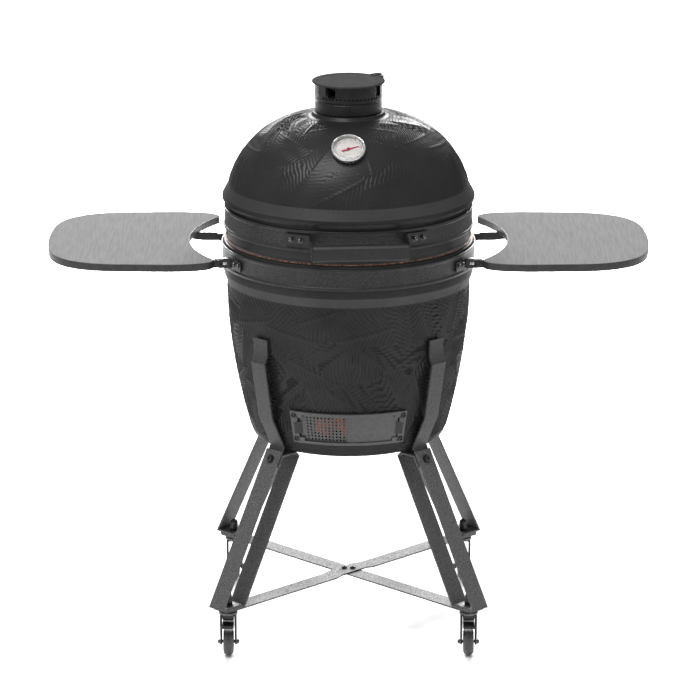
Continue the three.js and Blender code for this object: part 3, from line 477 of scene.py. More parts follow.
# Shelf, seal, wheels, thermometer and fire.
SHELF_TOP = make_shelf_top()
SHELF_EDGE = coat("shelf_dark_edge", (90.0,), shades(0.012, 0.024), (200.0, 0.4, 0.55),
                  (500.0, 3.0, 0.0002, 0.5))
FELT = coat("pressed_felt", (500.0, 4.0), shades(0.010, 0.030, 0.35, 0.7),
            grain=(900.0, 4.0, 0.0006, 0.9), Roughness=0.95, Sheen_Weight=0.4)
RUBBER = coat("grey_wheel_rubber", (150.0,), shades(0.040, 0.068), (260.0, 0.45, 0.6),
              (600.0, 3.0, 0.0002, 0.4), Specular_IOR_Level=0.35)
DIAL = coat("dial_enamel", (80.0,), shades((0.84, 0.81, 0.78), (0.90, 0.87, 0.84)), Roughness=0.5)
NEEDLE = coat("needle_red", (300.0,), shades((0.55, 0.015, 0.05), (0.68, 0.02, 0.07)),
              (400.0, 0.45, 0.55))
TICK = coat("dial_tick_ink", (300.0,), shades(0.03, 0.05), (400.0, 0.6, 0.7))
LENS = Finish("clear_lens", Transmission_Weight=1.0, Roughness=0.02, IOR=1.1).material
EMBERS = make_embers()

# ---------------- fasteners

def screw_head(radius, height):
    """A round head with a socket in it, sitting on Z = 0."""
    return turned(rounded([
        (0, -2.0), (radius * 0.5, -2.0), (radius * 0.5, 0), (radius, 0), (radius, height * 0.35),
        (radius * 0.75, height), (radius * 0.42, height), (radius * 0.38, height * 0.35),
        (0, height * 0.35),
    ], height * 0.25, 3), 28)


def hex_nut(radius, height):
    """A six-sided nut with its corners turned down at both ends."""
    rows = []
    for z, scale in ((0, 0.9), (height * 0.14, 1.0), (height * 0.86, 1.0), (height, 0.9)):
        rows.append([(radius * scale * math.cos(k * math.pi / 3),
                      radius * scale * math.sin(k * math.pi / 3), z) for k in range(6)])
    vertices = np.array([point for row in rows for point in row], float)
    faces = [tuple(reversed(range(6))), tuple(range(18, 24))]
    for row in range(3):
        for k in range(6):
            n = (k + 1) % 6
            faces.append((row * 6 + k, row * 6 + n, row * 6 + 6 + n, row * 6 + 6 + k))
    return vertices, faces


def acorn_nut(radius, height):
    """A hexagon with a dome on top."""
    dome = [(0, height * 0.4), (radius * 0.82, height * 0.4)]
    for k in range(9):
        turn = k * math.pi / 16
        dome.append((radius * 0.82 * math.cos(turn), height * (0.68 + 0.32 * math.sin(turn))))
    return joined(hex_nut(radius, height * 0.5), turned(dome, 28))


def washer(radius, bore, height):
    return turned([(bore, 0), (radius, 0), (radius, height), (bore, height)], 36)


# ---------------- leaf relief

LEAF_VEIN_HEIGHT = 0.8
LEAF_MIDRIB_HEIGHT = 1.1
LEAF_SPACING = 80.0
LEAF_STRETCH = 1.5              # how much longer than wide a leaf is
LEAF_JITTER = 0.3               # how far a leaf strays, as a share of its spacing
LEAF_SLANT = (0.4, 0.75)        # the side veins' slope against the midrib
MIDRIB_WIDTH = 2.4


def leaf_relief(width, bottom, top, pitch, strength, fade):
    """Heights of large overlapping leaves, each with a midrib and wavy side veins at a pitch.

    It returns height(u, v) for a distance u round the surface, which repeats every width, and
    a distance v up it. fade(u, v) scales the height from 0 to 1."""
    leaves = []
    rows = max(2, round((top - bottom) / LEAF_SPACING))
    columns = round(width / LEAF_SPACING)
    for row in range(-1, rows + 1):
        for column in range(columns):
            aside = rng.uniform(-LEAF_JITTER, LEAF_JITTER)
            above = rng.uniform(-LEAF_JITTER, LEAF_JITTER)
            leaves.append(((column + 0.5 * (row % 2) + aside) * width / columns,
                           bottom + (row + 0.5 + above) * (top - bottom) / rows,
                           rng.uniform(0, 2 * math.pi), rng.uniform(*LEAF_SLANT)))

    def height(u, v):
        nearest = np.full(u.shape, 1e9)
        result = np.zeros(u.shape)
        for centre_u, centre_v, turn, slant in leaves:
            du = (u - centre_u + width / 2) % width - width / 2
            dv = v - centre_v
            along = du * math.cos(turn) + dv * math.sin(turn)
            across = -du * math.sin(turn) + dv * math.cos(turn)
            distance = np.hypot(along / LEAF_STRETCH, across)
            bend = slant * np.abs(across) + 0.002 * across ** 2
            ripple = 1.9 * np.sin(across / 8 + 3 * slant) + 0.8 * np.sin(across / 4.6 + along / 17)
            veins = np.sin(2 * math.pi * (along - bend + ripple) / pitch)
            midrib = np.exp(-(across / MIDRIB_WIDTH) ** 2)
            value = strength * (LEAF_VEIN_HEIGHT * veins * (1 - midrib) + LEAF_MIDRIB_HEIGHT * midrib)
            chosen = distance < nearest
            result = np.where(chosen, value, result)
            nearest = np.where(chosen, distance, nearest)
        return result * fade(u, v)

    return height


def arc_lengths(profile):
    steps = [math.dist(a, b) for a, b in zip(profile, profile[1:])]
    return np.concatenate([[0.0], np.cumsum(steps)])


def ceramic_shell(name, profile, rows, turn_radius, veins, fade, bevel, body, node, cuts=()):
    """A turned ceramic piece. Its profile's rows, from the first to the last of rows, carry the
    leaf relief. veins is the pitch and the strength of the leaves' side veins. The outside
    between the two heights of bevel is a plain rim in a lighter glaze, a painted reflection."""
    first, last = rows
    lengths = arc_lengths(profile)
    width = 2 * math.pi * turn_radius
    low, high = lengths[first], lengths[last]
    height = leaf_relief(width, low, high, *veins, fade(low, high))

    def relief(angles, row):
        if not first <= row <= last:
            return np.zeros(len(angles))
        u = angles * turn_radius
        return height(u, np.full(len(angles), lengths[row]))

    obj = make_piece(name, turned(profile, CERAMIC_SEGMENTS, relief), CERAMIC, body,
                     (node,), 48, cuts)
    # The plain rim's outside faces get the lighter glaze, a painted reflection.
    second_coat(obj, SMOOTH_GLAZE_PAINTED_REFLECTION, lambda out, z, up: bevel[0] < z < bevel[1] and out > REFLECTION_RIM_INNER)


# ---------------- bowl

BOWL_LOW, BOWL_HIGH = box_mm("base_bowl")
BOWL_FLOOR = BOWL_LOW.z
RIM_TOP = BOWL_HIGH.z
RIM_RADIUS = BOWL_HIGH.x
BOWL_SIDE = ((205, BOWL_FLOOR + 20), (228, 515), (253.5, 640), (253.5, 752))
VENT_LOW, VENT_HIGH = box_mm("vent_frame")
CERAMIC_SEGMENTS = 756
BOWL_ROWS = 100
BOWL_RELIEF_RADIUS = 240        # where the relief's width is measured
BOWL_VEINS = (9.8, 1.4)         # pitch and strength
# The plain rim also takes the lighter glaze, a painted reflection.
BOWL_RIM_REFLECTION_BAND = (753, 771)           # the plain rim's height
REFLECTION_RIM_INNER = 249                 # a plain rim's faces lie outside this radius
WALL = 28                       # the floor's thickness
WINDOW_ANGLE = 22               # half the draught window's width, in degrees
FRAME_ANGLE = 31                # half the vent frame's, with a margin
RELIEF_EDGE = 6                 # the length over which the relief fades out


def bowl_radius_at(z):
    side = bezier(BOWL_SIDE, 60)
    return float(np.interp(z, [point[1] for point in side], [point[0] for point in side]))


def bowl_fade(low, high):
    """The relief fades out at both ends of the wall and behind the draught vent's frame."""
    def fade(u, v):
        ends = np.clip((v - low) / RELIEF_EDGE, 0, 1) * np.clip((high - v) / RELIEF_EDGE, 0, 1)
        aside = (np.abs(u - FRONT * BOWL_RELIEF_RADIUS)
                 - BOWL_RELIEF_RADIUS * math.radians(FRAME_ANGLE))
        above = v - low - (VENT_HIGH.z - BOWL_FLOOR - 16)
        return ends * np.clip(np.maximum(aside, above) / RELIEF_EDGE, 0, 1)
    return fade


def build_bowl():
    foot = rounded([(0, BOWL_FLOOR), (188, BOWL_FLOOR), (200, BOWL_FLOOR + 7), BOWL_SIDE[0]], 8, 3)
    side = bezier(BOWL_SIDE, BOWL_ROWS)
    rim = rounded([
        side[-1], (RIM_RADIUS, 772, 3), (RIM_RADIUS, RIM_TOP, 4), (230, RIM_TOP, 4), (227, 752, 4),
        (227, 700),
    ], 3, 2)
    floor = BOWL_FLOOR + WALL
    inside = bezier(((227, 700), (227, 600), (200, 520), (177, floor + 4)), 5)
    profile = foot[:-1] + side + rim[1:] + inside[1:] + [(172, floor), (0, floor)]
    first = len(foot) - 2
    half = bowl_radius_at(VENT_LOW.z) * math.sin(math.radians(WINDOW_ANGLE))
    window = block(-half, half, -260, -120, VENT_LOW.z + 10, VENT_HIGH.z - 10)
    ceramic_shell("bowl", profile, (first, first + BOWL_ROWS), BOWL_RELIEF_RADIUS, BOWL_VEINS,
                  bowl_fade, BOWL_RIM_REFLECTION_BAND, "root", "base_bowl", (window,))


EMBERS_IN_HEAP = 46
EMBER_SIZE = (7, 13)
HEAP = ((-62, 62), (-166, -150), (458, 500))    # its reach in X, Y and Z


def build_embers():
    """A heap of glowing charcoal behind the draught window."""
    lumps = []
    for _ in range(EMBERS_IN_HEAP):
        lump, faces = turned([(0, -1), (0.6, -0.8), (0.95, -0.3), (1, 0.25), (0.7, 0.8), (0, 1)], 9)
        size = rng.uniform(*EMBER_SIZE)
        lump = lump * size * np.array([rng.uniform(0.8, 1.2) for _ in range(3)])
        lump += np.array([[rng.uniform(-1.2, 1.2) for _ in range(3)] for _ in lump])
        place = [rng.uniform(*span) for span in HEAP]
        lumps.append(placed((lump, faces), place, [rng.uniform(-1, 1) for _ in range(3)]))
    make_piece("ember_heap", joined(*lumps), EMBERS, "root", (), 20)


# ---------------- rings round the rim

GASKET_INNER = 236.2
STITCH_RADIUS = 0.8


def circle_at(across, up, radius, count):
    """A round cross-section, as points for a turned profile."""
    turns = [2 * math.pi * k / count for k in range(count)]
    return [(across + radius * math.cos(turn), up + radius * math.sin(turn)) for turn in turns]


def band_profile(low, high):
    """A flat band between two rolled edges, from its CAD node's corners."""
    bottom, top, outer = low.z, high.z, high.x
    inner = outer - 4.2
    flat = outer - 2.2
    return rounded([
        (inner, bottom + 1), (inner + 1.5, bottom, 1.5), (outer - 0.4, bottom, 1.6),
        (outer, bottom + 3, 2.4), (outer - 0.4, bottom + 6, 1.6), (flat, bottom + 7, 1),
        (flat, top - 7, 1), (outer - 0.4, top - 6, 1.6), (outer, top - 3, 2.4),
        (outer - 0.4, top, 1.6), (inner + 1.5, top, 1.5), (inner, top - 1),
    ], 1.2, 4)


def build_band(node, body):
    low, high = box_mm(node)
    obj = make_piece(f"{node}_rolled", turned(band_profile(low, high), 240), BEAD, body,
                     (node,))
    second_coat(obj, BAND, lambda out, z, up: (low.z + 7.4 < z < high.z - 7.4
                                               and out > high.x - 3))


def build_gasket(node, body):
    low, high = box_mm(node)
    outer, inner = high.x, GASKET_INNER
    profile = rounded([
        (inner, low.z + 0.6), (inner + 1, low.z, 1), (outer, low.z, 1.2), (outer, high.z, 1.2),
        (inner, high.z, 1), (inner, low.z + 0.8),
    ], 1, 3)
    make_piece(f"{node}_felt", turned(profile, 240), FELT, body, (node,))
    if body == "root":
        stitch = circle_at(outer - 0.5, high.z - 0.9, STITCH_RADIUS, 8)
        make_piece("gasket_stitch", turned(stitch, 240), COPPER, body)


# ---------------- inside the bowl

FIREBOX_HOLES = 10


def build_firebox():
    low, high = box_mm("firebox")
    bottom, top, outer = low.z, high.z, high.x
    profile = rounded([
        (140, bottom + 1), (142, bottom, 2), (166, bottom, 3), (172, bottom + 12, 6),
        (outer, top, 4), (outer - 22, top, 4), (166, 524, 3), (140, 524, 2), (140, bottom + 3),
    ], 3)
    mouth = block(-70, 70, -220, -80, bottom - 10, 507)
    vents = []
    for k in range(FIREBOX_HOLES):
        hole = placed(turned([(0, -30), (7, -30), (7, 30), (0, 30)], 20), (0, -188, 600), (0, 1, 0))
        vents.append(moved(hole, about_z(360 / FIREBOX_HOLES * (k + 0.5))))
    make_piece("firebox_cast", turned(profile, 120), FIRECLAY, "root", ("firebox",), 35,
               (mouth, joined(*vents)))
    low, high = box_mm("fire_ring")
    ring = rounded([
        (180, low.z + 1), (182, low.z, 2), (204, low.z, 3), (222, 745, 8), (222, high.z, 4),
        (202, high.z, 4), (198, 745, 8), (180, low.z + 3),
    ], 3)
    make_piece("fire_ring_cast", turned(ring, 120), FIRECLAY, "root", ("fire_ring",))


GRATE_PITCH = 16
GRATE_RODS_EACH_WAY = 12
GRATE_CROSS_RODS = (-80, 80)


def build_cooking_grate():
    """Round rods welded into a ring."""
    low, high = box_mm("cooking_grate")
    radius, middle = high.x, (low.z + high.z) / 2
    rod = (high.z - low.z) / 2
    parts = [turned(circle_at(radius - rod, middle, rod, 12), 120)]
    for k in range(-GRATE_RODS_EACH_WAY, GRATE_RODS_EACH_WAY + 1):
        x = GRATE_PITCH * k
        half = math.sqrt((radius - 6) ** 2 - x ** 2)
        parts.append(tube(((x, -half, middle + 0.6), (x, half, middle + 0.6)), 2.4))
    for y in GRATE_CROSS_RODS:
        half = math.sqrt((radius - 6) ** 2 - y ** 2)
        parts.append(tube(((-half, y, middle - 1.2), (half, y, middle - 1.2)), 2.2))
    make_piece("cooking_grate_rods", joined(*parts), GRATE, "cooking_grate",
               ("cooking_grate",))


# ---------------- draught vent

VENT_COLUMNS = 11
VENT_ROWS = 8
VENT_HOLE = 3.6                 # the width of a square hole
VENT_LIP = 5.2                  # how far the frame reaches over a plate
HOLE_INSET = 11.5               # from the frame's edge to the outer rows of holes
PLATE_END = 26.9                # angles from the front, in degrees
HOLE_ANGLES = (-22.4, -2.4)
SCREEN_END = -0.5
DOOR_START = -0.6
SCREEN_LAYER = (0.9, 1.9)       # heights off the bowl
DOOR_LAYER = (3.4, 4.4)
DIMPLE_LAYER = (4.3, 4.46)
DIMPLE_COLUMNS = 6
TAB_ANGLE = 25.7
TAB_HALF = 0.17
TAB_INSET = 22.5
TAB_REACH = 16.8
TAB_SLANT = 2.8
SCREW_ANGLE = 29.4
SCREW_INSET = 9
FRAME_FACE = 7.2                # the height of the frame's face off the bowl


def bent(cells, low_offset, high_offset):
    """Cells bent round the bowl, each (angle0, angle1, z0, z1) in degrees from the front, made
    one sheet with shared corners. Offsets are heights above the bowl's surface."""
    index, vertices, faces = {}, [], []

    def corner(angle, z, offset):
        key = (round(angle, 4), round(z, 3), offset)
        if key not in index:
            radius = bowl_radius_at(z) + offset
            turn = math.radians(angle)
            index[key] = len(vertices)
            vertices.append((radius * math.sin(turn), -radius * math.cos(turn), z))
        return index[key]

    edges = {}
    for a0, a1, z0, z1 in cells:
        ring = ((a0, z0), (a1, z0), (a1, z1), (a0, z1))
        faces.append(tuple(corner(a, z, high_offset) for a, z in ring))
        faces.append(tuple(corner(a, z, low_offset) for a, z in reversed(ring)))
        for start, end in zip(ring, ring[1:] + ring[:1]):
            key = tuple(round(value, 4) for value in start + end)
            edges[key] = (start, end)
    for key, (start, end) in edges.items():
        if key[2:] + key[:2] not in edges:
            faces.append((corner(*end, high_offset), corner(*start, high_offset),
                          corner(*start, low_offset), corner(*end, low_offset)))
    return np.array(vertices, float), faces


def grid_cells(angles, heights, is_open=None):
    """The cells between sorted angles and heights, without those that are open."""
    cells = []
    for a0, a1 in zip(angles, angles[1:]):
        for z0, z1 in zip(heights, heights[1:]):
            if is_open is None or not is_open((a0 + a1) / 2, (z0 + z1) / 2):
                cells.append((a0, a1, z0, z1))
    return cells


def pull_tab(side, layer):
    """A sheet tab that leans out from a sliding plate."""
    angle = side * TAB_ANGLE
    heights = np.linspace(VENT_LOW.z + TAB_INSET, VENT_HIGH.z - TAB_INSET, 7)
    cells = grid_cells([angle - TAB_HALF, angle + TAB_HALF], heights)
    part, faces = bent(cells, layer[1] - 0.3, TAB_REACH)
    turn = np.arctan2(part[:, 0], -part[:, 1])
    reach = np.hypot(part[:, 0], part[:, 1])
    out = reach - np.array([bowl_radius_at(z) for z in part[:, 2]])
    turn = turn + side * math.radians(TAB_SLANT) * np.clip((out - 3) / 14, 0, 1)
    return np.column_stack([reach * np.sin(turn), -reach * np.cos(turn), part[:, 2]]), faces


def build_vent():
    bottom, top = VENT_LOW.z, VENT_HIGH.z
    refined("vent_frame", VENT, "root", 0.5)
    degree = math.degrees(1 / bowl_radius_at((bottom + top) / 2))
    hole = VENT_HOLE * degree
    sill, head = bottom + VENT_LIP, top - VENT_LIP
    heights = [sill]
    rows = np.linspace(bottom + HOLE_INSET, top - HOLE_INSET, VENT_ROWS)
    for z in rows:
        heights += [z - VENT_HOLE / 2, z + VENT_HOLE / 2]
    heights.append(head)
    angles = [-PLATE_END]
    columns = np.linspace(*HOLE_ANGLES, VENT_COLUMNS)
    for angle in columns:
        angles += [angle - hole / 2, angle + hole / 2]
    angles.append(SCREEN_END)

    def is_hole(angle, z):
        return (np.abs(columns - angle).min() < hole / 2
                and np.abs(rows - z).min() < VENT_HOLE / 2)

    door_cells = grid_cells(np.linspace(DOOR_START, PLATE_END, 24), np.linspace(sill, head, 7))
    # The door's dimples are thin patches of darker grey laid on the sheet, painted shade for pressed
    # dimples.
    dimple_shades = []
    for column in range(DIMPLE_COLUMNS):
        centre = 1.4 + 2.0 * column
        share = 0.30 - 0.035 * column
        half, rise = hole * share, VENT_HOLE * share
        for z in rows:
            dimple = (centre - half, centre + half, z - rise, z + rise)
            dimple_shades.append(bent([dimple], *DIMPLE_LAYER))
    for name, part, material, body, stands_for in (
            ("vent_screen_perforated", bent(grid_cells(angles, heights, is_hole), *SCREEN_LAYER),
             VENT, "vent_screen", ("vent_screen",)),
            ("vent_door_sheet", bent(door_cells, *DOOR_LAYER), VENT, "vent_door", ("vent_door",)),
            ("vent_screen_tab", pull_tab(-1, SCREEN_LAYER), BLACK, "vent_screen", ()),
            ("vent_door_tab", pull_tab(1, DOOR_LAYER), BLACK, "vent_door", ()),
            ("vent_door_dimple_shades", joined(*dimple_shades), VENT_DIMPLE_PAINTED_SHADE, "vent_door", ())):
        make_piece(name, part, material, body, stands_for, 20)
    # Small black rings beside the corner screws paint the shadow inside the frame's small holes.
    screws, hole_shadows = [], []
    for side in (-1, 1):
        for z in (bottom + SCREW_INSET, top - SCREW_INSET):
            for parts, shape, inwards, drop in ((screws, screw_head(6.0, 3.4), 0.0, 0.0),
                                                (hole_shadows, washer(1.7, 0.7, 0.5), 1.7, 3.6)):
                level = z - drop
                out = bowl_radius_at(level) + FRAME_FACE
                parts.append(placed(shape, *on_ring(side * (SCREW_ANGLE - inwards), out, level)))
    trim("vent_corner_screws", BLACK, "root", *screws)
    trim("vent_corner_hole_shadows", BLACK, "root", *hole_shadows)


# ---------------- lid

DOME_LOW, DOME_HIGH = box_mm("lid_dome")
FLARE_RADIUS = DOME_HIGH.x
DOME_TOP = DOME_HIGH.z
DOME_SHOULDER = DOME_TOP - 9     # where the curve meets the neck under the damper
DOME_CURVE = ((252.3, 952.3), (228.6, 1053.8), (143.1, DOME_SHOULDER), (84, DOME_SHOULDER))
BEVEL_TOP = (251.2, 957)         # where the skirt's bevel meets the dome
DOME_STEPS = 86                  # rows along the whole of the curve
DOME_RELIEF_RADIUS = 200         # where the relief's width is measured
DOME_VEINS = (9.0, 0.85)         # pitch and strength
# The plain rim also takes the lighter glaze, a painted reflection.
DOME_RIM_REFLECTION_BAND = (935, 956)            # the plain rim's height
DAMPER_FADE = 22                 # the length over which the relief fades towards the damper
DIAL_UP = 128                    # the thermometer's distance up the curve
DIAL_CLEAR = 36                  # the plain circle round the thermometer
DIAL_FADE = 24
THERMOMETER_PLACE = Matrix.Translation((0, -181, 1064)) @ Matrix.Rotation(math.radians(38), 4, "X")


def dome_fade(low, high):
    """The relief fades into the skirt, towards the damper and round the thermometer."""
    def fade(u, v):
        edge = (np.clip((v - low) / RELIEF_EDGE, 0, 1)
                * np.clip((high - v) / DAMPER_FADE, 0, 1))
        from_dial = np.hypot(u - FRONT * DOME_RELIEF_RADIUS, v - (low + DIAL_UP))
        return edge * np.clip((from_dial - DIAL_CLEAR) / DIAL_FADE, 0, 1)
    return fade


def build_dome():
    skirt = rounded([
        (232, DOME_LOW.z + 1), (234, DOME_LOW.z, 2), (256, DOME_LOW.z, 3), (256, 917, 2),
        (FLARE_RADIUS, 928, 2), (FLARE_RADIUS, 934, 2), BEVEL_TOP,
    ], 2, 2)
    outside = [BEVEL_TOP]
    outside += [point for point in bezier(DOME_CURVE, DOME_STEPS)
                if point[1] > BEVEL_TOP[1] + 0.5]
    ceiling = DOME_SHOULDER - 25
    top = rounded([outside[-1], (77, DOME_SHOULDER + 1.5, 7), (73, DOME_TOP, 1.5), (52, DOME_TOP, 2),
                   (52, ceiling, 3), (90, ceiling)], 2, 3)
    inside = bezier(((90, ceiling), (160, ceiling - 4), (215, 1025), (227.3, 952.3)), 8)
    profile = skirt[:-1] + outside + top[1:] + inside[1:] + [(231.5, 860)]
    first = len(skirt) - 1
    last = first + len(outside) - 1
    ceramic_shell("dome", profile, (first, last), DOME_RELIEF_RADIUS, DOME_VEINS, dome_fade,
                  DOME_RIM_REFLECTION_BAND, "lid", "lid_dome")


TICKS = 28
TICK_STEP = 10


def build_thermometer():
    low, high = box_mm("thermometer_case")
    radius = (high.x - low.x) / 2
    bore = radius - 4
    bezel = rounded([
        (0, -62), (3, -62, 1), (3, 1, 0.5), (radius - 2, 1, 1), (radius, 3, 2), (radius, 11, 4),
        (radius - 2.4, 14, 2), (bore + 0.2, 12.5, 1.5), (bore, 3.6, 0.6), (0, 3.6),
    ], 1, 5)
    dial = [(2, 3.8), (bore - 0.4, 3.8), (bore - 0.4, 4.8), (2, 4.8)]
    lens = [(0, 9.5), (bore - 0.5, 9.5), (bore - 0.5, 11), (bore * 0.6, 11.6), (0, 12)]
    for name, profile, segments, material, slot, node in (
            ("bezel", bezel, 96, CHROME, "bright_metal", "case"),
            ("face", dial, 72, DIAL, "dial_face", "dial"),
            ("glass", lens, 72, LENS, "lens", "lens")):
        make_piece(f"thermometer_{name}", moved(turned(profile, segments), THERMOMETER_PLACE),
                   material, "lid", (f"thermometer_{node}",))
    ticks = []
    for k in range(TICKS):
        length = 4.5 if k % 3 == 0 else 2.5
        tick = block(-0.35, 0.35, bore - 3 - length, bore - 3, 4.8, 4.95)
        ticks.append(moved(tick, about_z(135 - TICK_STEP * k)))
    make_piece("thermometer_scale", moved(joined(*ticks), THERMOMETER_PLACE), TICK, "lid")
    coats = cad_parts["thermometer_needle"].data.materials
    coats.clear()
    coats.append(NEEDLE)


HANDLE_TURN = 4.5               # the handle is a few degrees off the front
HANDLE_END = 97.3
HANDLE_SCREW_STEPS = (4.6, 9.0)
LID_BAND_LOW, LID_BAND_HIGH = box_mm("lid_band")


def build_handle():
    refined("handle_bar", HANDLE, "lid", 1.2)
    radius = LID_BAND_HIGH.x + 3.3
    middle = LID_BAND_LOW.z + 25
    start = math.degrees(math.asin(HANDLE_END / radius))
    for side, name in SIDES:
        refined(f"handle_bracket_{name}", BLACK, "lid", 0.5)
        screws = []
        for step in HANDLE_SCREW_STEPS:
            place, ahead = on_ring(side * (start + step) + HANDLE_TURN, radius, middle)
            screws.append(placed(washer(6.4, 2.0, 1.0), place, ahead))
            screws.append(placed(acorn_nut(5.0, 8.5), place, ahead, 0.3))
        trim(f"handle_screws_{name}", SCREW, "lid", *screws)


# ---------------- top damper

DAMPER_LOW, DAMPER_HIGH = box_mm("damper_base")
CAP_BEARING = 43
CAP_REACH = 84
CAP_PIN_HEIGHT = 1172
CAP_DROP = 6.7                  # from the top of the cap's lug to the disc's underside
NOTCHES = 17
NOTCH_START, NOTCH_STEP = 222, 7
WINDOW_BEARINGS = (240, -27)


def build_damper():
    base_top = DAMPER_HIGH.z
    base = rounded([
        (58, DAMPER_LOW.z + 1), (59, DAMPER_LOW.z, 1), (69.2, DAMPER_LOW.z, 1.2),
        (70, DAMPER_LOW.z + 3, 1.5), (70, base_top - 11, 0.8), (68.6, base_top - 10, 0.6),
        (68.6, base_top - 8, 0.6), (70, base_top - 7, 0.8), (70, base_top, 1.2),
        (58, base_top, 1), (58, DAMPER_LOW.z + 3),
    ], 1)
    make_piece("damper_base_cast", turned(base, 120), IRON, "lid", ("damper_base",))
    notch = block(65, 74, -1.8, 1.8, base_top - 1, base_top + 3.4)
    window = block(59, 76, -9, 9, base_top + 4, base_top + 27)
    notches = [moved(notch, about_z(NOTCH_START + NOTCH_STEP * k)) for k in range(NOTCHES)]
    windows = [moved(window, about_z(bearing)) for bearing in WINDOW_BEARINGS]
    refined("damper_ring", IRON, "damper_ring", 0.5,
            (joined(*notches), joined(*windows)))
    build_cap(box_mm("damper_cap")[1].z - CAP_DROP)


def build_cap(low):
    high = low + 5
    disc = rounded([
        (0, low), (74, low, 0.6), (76, low + 2, 1.4), (75.4, high - 0.8, 1), (73.5, high, 1),
        (66, high - 0.2, 2), (64, high - 1.0, 1.5), (24, high - 1.0, 2), (0, high - 0.8),
    ], 1)
    lug = rounded_block(68, 89, -7, 7, low + 0.5, CAP_PIN_HEIGHT + 4)
    tab = rounded_block(-75, -71.5, -10, 10, low - 18.3, high - 1)
    turn = about_z(CAP_BEARING)
    # The disc, lug and side tab all take the cap's lighter grey, which paints the glint on the tab.
    make_piece("damper_cap_cast", joined(turned(disc, 120), moved(lug, turn), moved(tab, turn)), CAP,
               "damper_cap", ("damper_cap",))
    pin = tube(((CAP_REACH, -13.5, CAP_PIN_HEIGHT), (CAP_REACH, 13.5, CAP_PIN_HEIGHT)), 1.9, 20)
    trim("damper_hinge_pin", SCREW, "damper_ring", moved(pin, turn))


# ---------------- lid hinge

SPRING_TURNS = 8
SPRING_HALF = 26                # half the spring's length
SPRING_RADIUS = 9.4
SPRING_WIRE = 1.9
SPRING_STEPS = 20               # facets round one turn
BRACKET_ANGLES = (164.5, 195.5)
BRACKET_PLATE = 4.6


def build_hinge():
    refined("hinge_upper_bracket", BLACK, "lid", 0.7)
    refined("hinge_lower_bracket", BLACK, "root", 0.7)
    low, high = box_mm("hinge_pin")
    middle = (low + high) / 2
    radius = (high.z - low.z) / 2
    pin = tube(((low.x, middle.y, middle.z), (high.x, middle.y, middle.z)), radius, 32)
    caps = [placed(acorn_nut(8.5, 8), (x, middle.y, middle.z), (math.copysign(1, x), 0, 0))
            for x in (low.x + 6, high.x - 6)]
    make_piece("hinge_pin_turned", joined(pin, *caps), CHROME, "root", ("hinge_pin",))
    coils = []
    count = SPRING_TURNS * SPRING_STEPS
    for k in range(count + 1):
        angle = 2 * math.pi * k / SPRING_STEPS
        coils.append((SPRING_HALF * (2 * k / count - 1), middle.y + SPRING_RADIUS * math.cos(angle),
                      middle.z + SPRING_RADIUS * math.sin(angle)))
    trim("hinge_spring", BLACK, "root", tube(coils, SPRING_WIRE, 10))
    for node, body, band, rises in (("hinge_upper_bracket", "lid", "lid_band", (14, 30)),
                                    ("hinge_lower_bracket", "root", "base_band", (15, 31))):
        low, high = box_mm(band)
        bolts = []
        for angle in BRACKET_ANGLES:
            for rise in rises:
                place = on_ring(angle, high.x + BRACKET_PLATE, low.z + rise)
                bolts.append(placed(screw_head(5.2, 4.0), *place))
        trim(f"{node}_bolts", SCREW, body, *bolts)


# ---------------- shelves

SHELF_NOTCH = 332
SHELF_INNER = 273
SHELF_HALF = 230
PIVOT_X = 268
PIVOT_Z = 811
BRACKET_Y = 112
BRACKET_SCREW_ANGLES = (61.5, 58.0)
BRACKET_SCREW_Z = 813


def shelf_outline(tip):
    """The board seen from above, for the right-hand side, anticlockwise from the notch."""
    tip_y = math.sqrt(SHELF_NOTCH ** 2 - (SHELF_INNER + 8) ** 2)
    turn = math.atan2(tip_y, SHELF_INNER + 8)
    notch = [(SHELF_NOTCH * math.cos(a), SHELF_NOTCH * math.sin(a))
             for a in np.linspace(turn, -turn, 49)]
    half, inner = SHELF_HALF, SHELF_INNER
    front = bezier((notch[-1], (inner - 2, -tip_y - 12), (inner + 3, -half + 34)), 14)
    front += bezier((front[-1], (inner + 12, -half + 1), (inner + 100, -half)), 14)[1:]
    corner = bezier(((480, -half + 4), (575, -half + 12), (612, -165), (620, -95)), 20)
    end = bezier(((620, -95), (tip + 2, -35), (tip + 2, 35), (620, 95)), 16)
    edge = front[1:] + corner
    mirrored = [(x, -y) for x, y in reversed(edge)]
    return notch + edge + end[1:] + mirrored[1:]


def build_shelves():
    for side, name in SIDES:
        node = f"shelf_board_{name}"
        low, high = box_mm(node)
        tip = max(abs(low.x), abs(high.x))
        board = prism(shelf_outline(tip), low.z, high.z)
        if side < 0:
            board = moved(board, about_z(180))
        obj = make_object(f"{node}_finished", board)
        soften(obj, 2.2, 3, 50)
        dress(obj, SHELF_EDGE, f"shelf_{name}", (node,))
        second_coat(obj, SHELF_TOP, lambda out, z, up: up > 0.9)
        refined(f"shelf_frame_{name}", BLACK, f"shelf_{name}", 0.5)
        build_shelf_fittings(side, name)


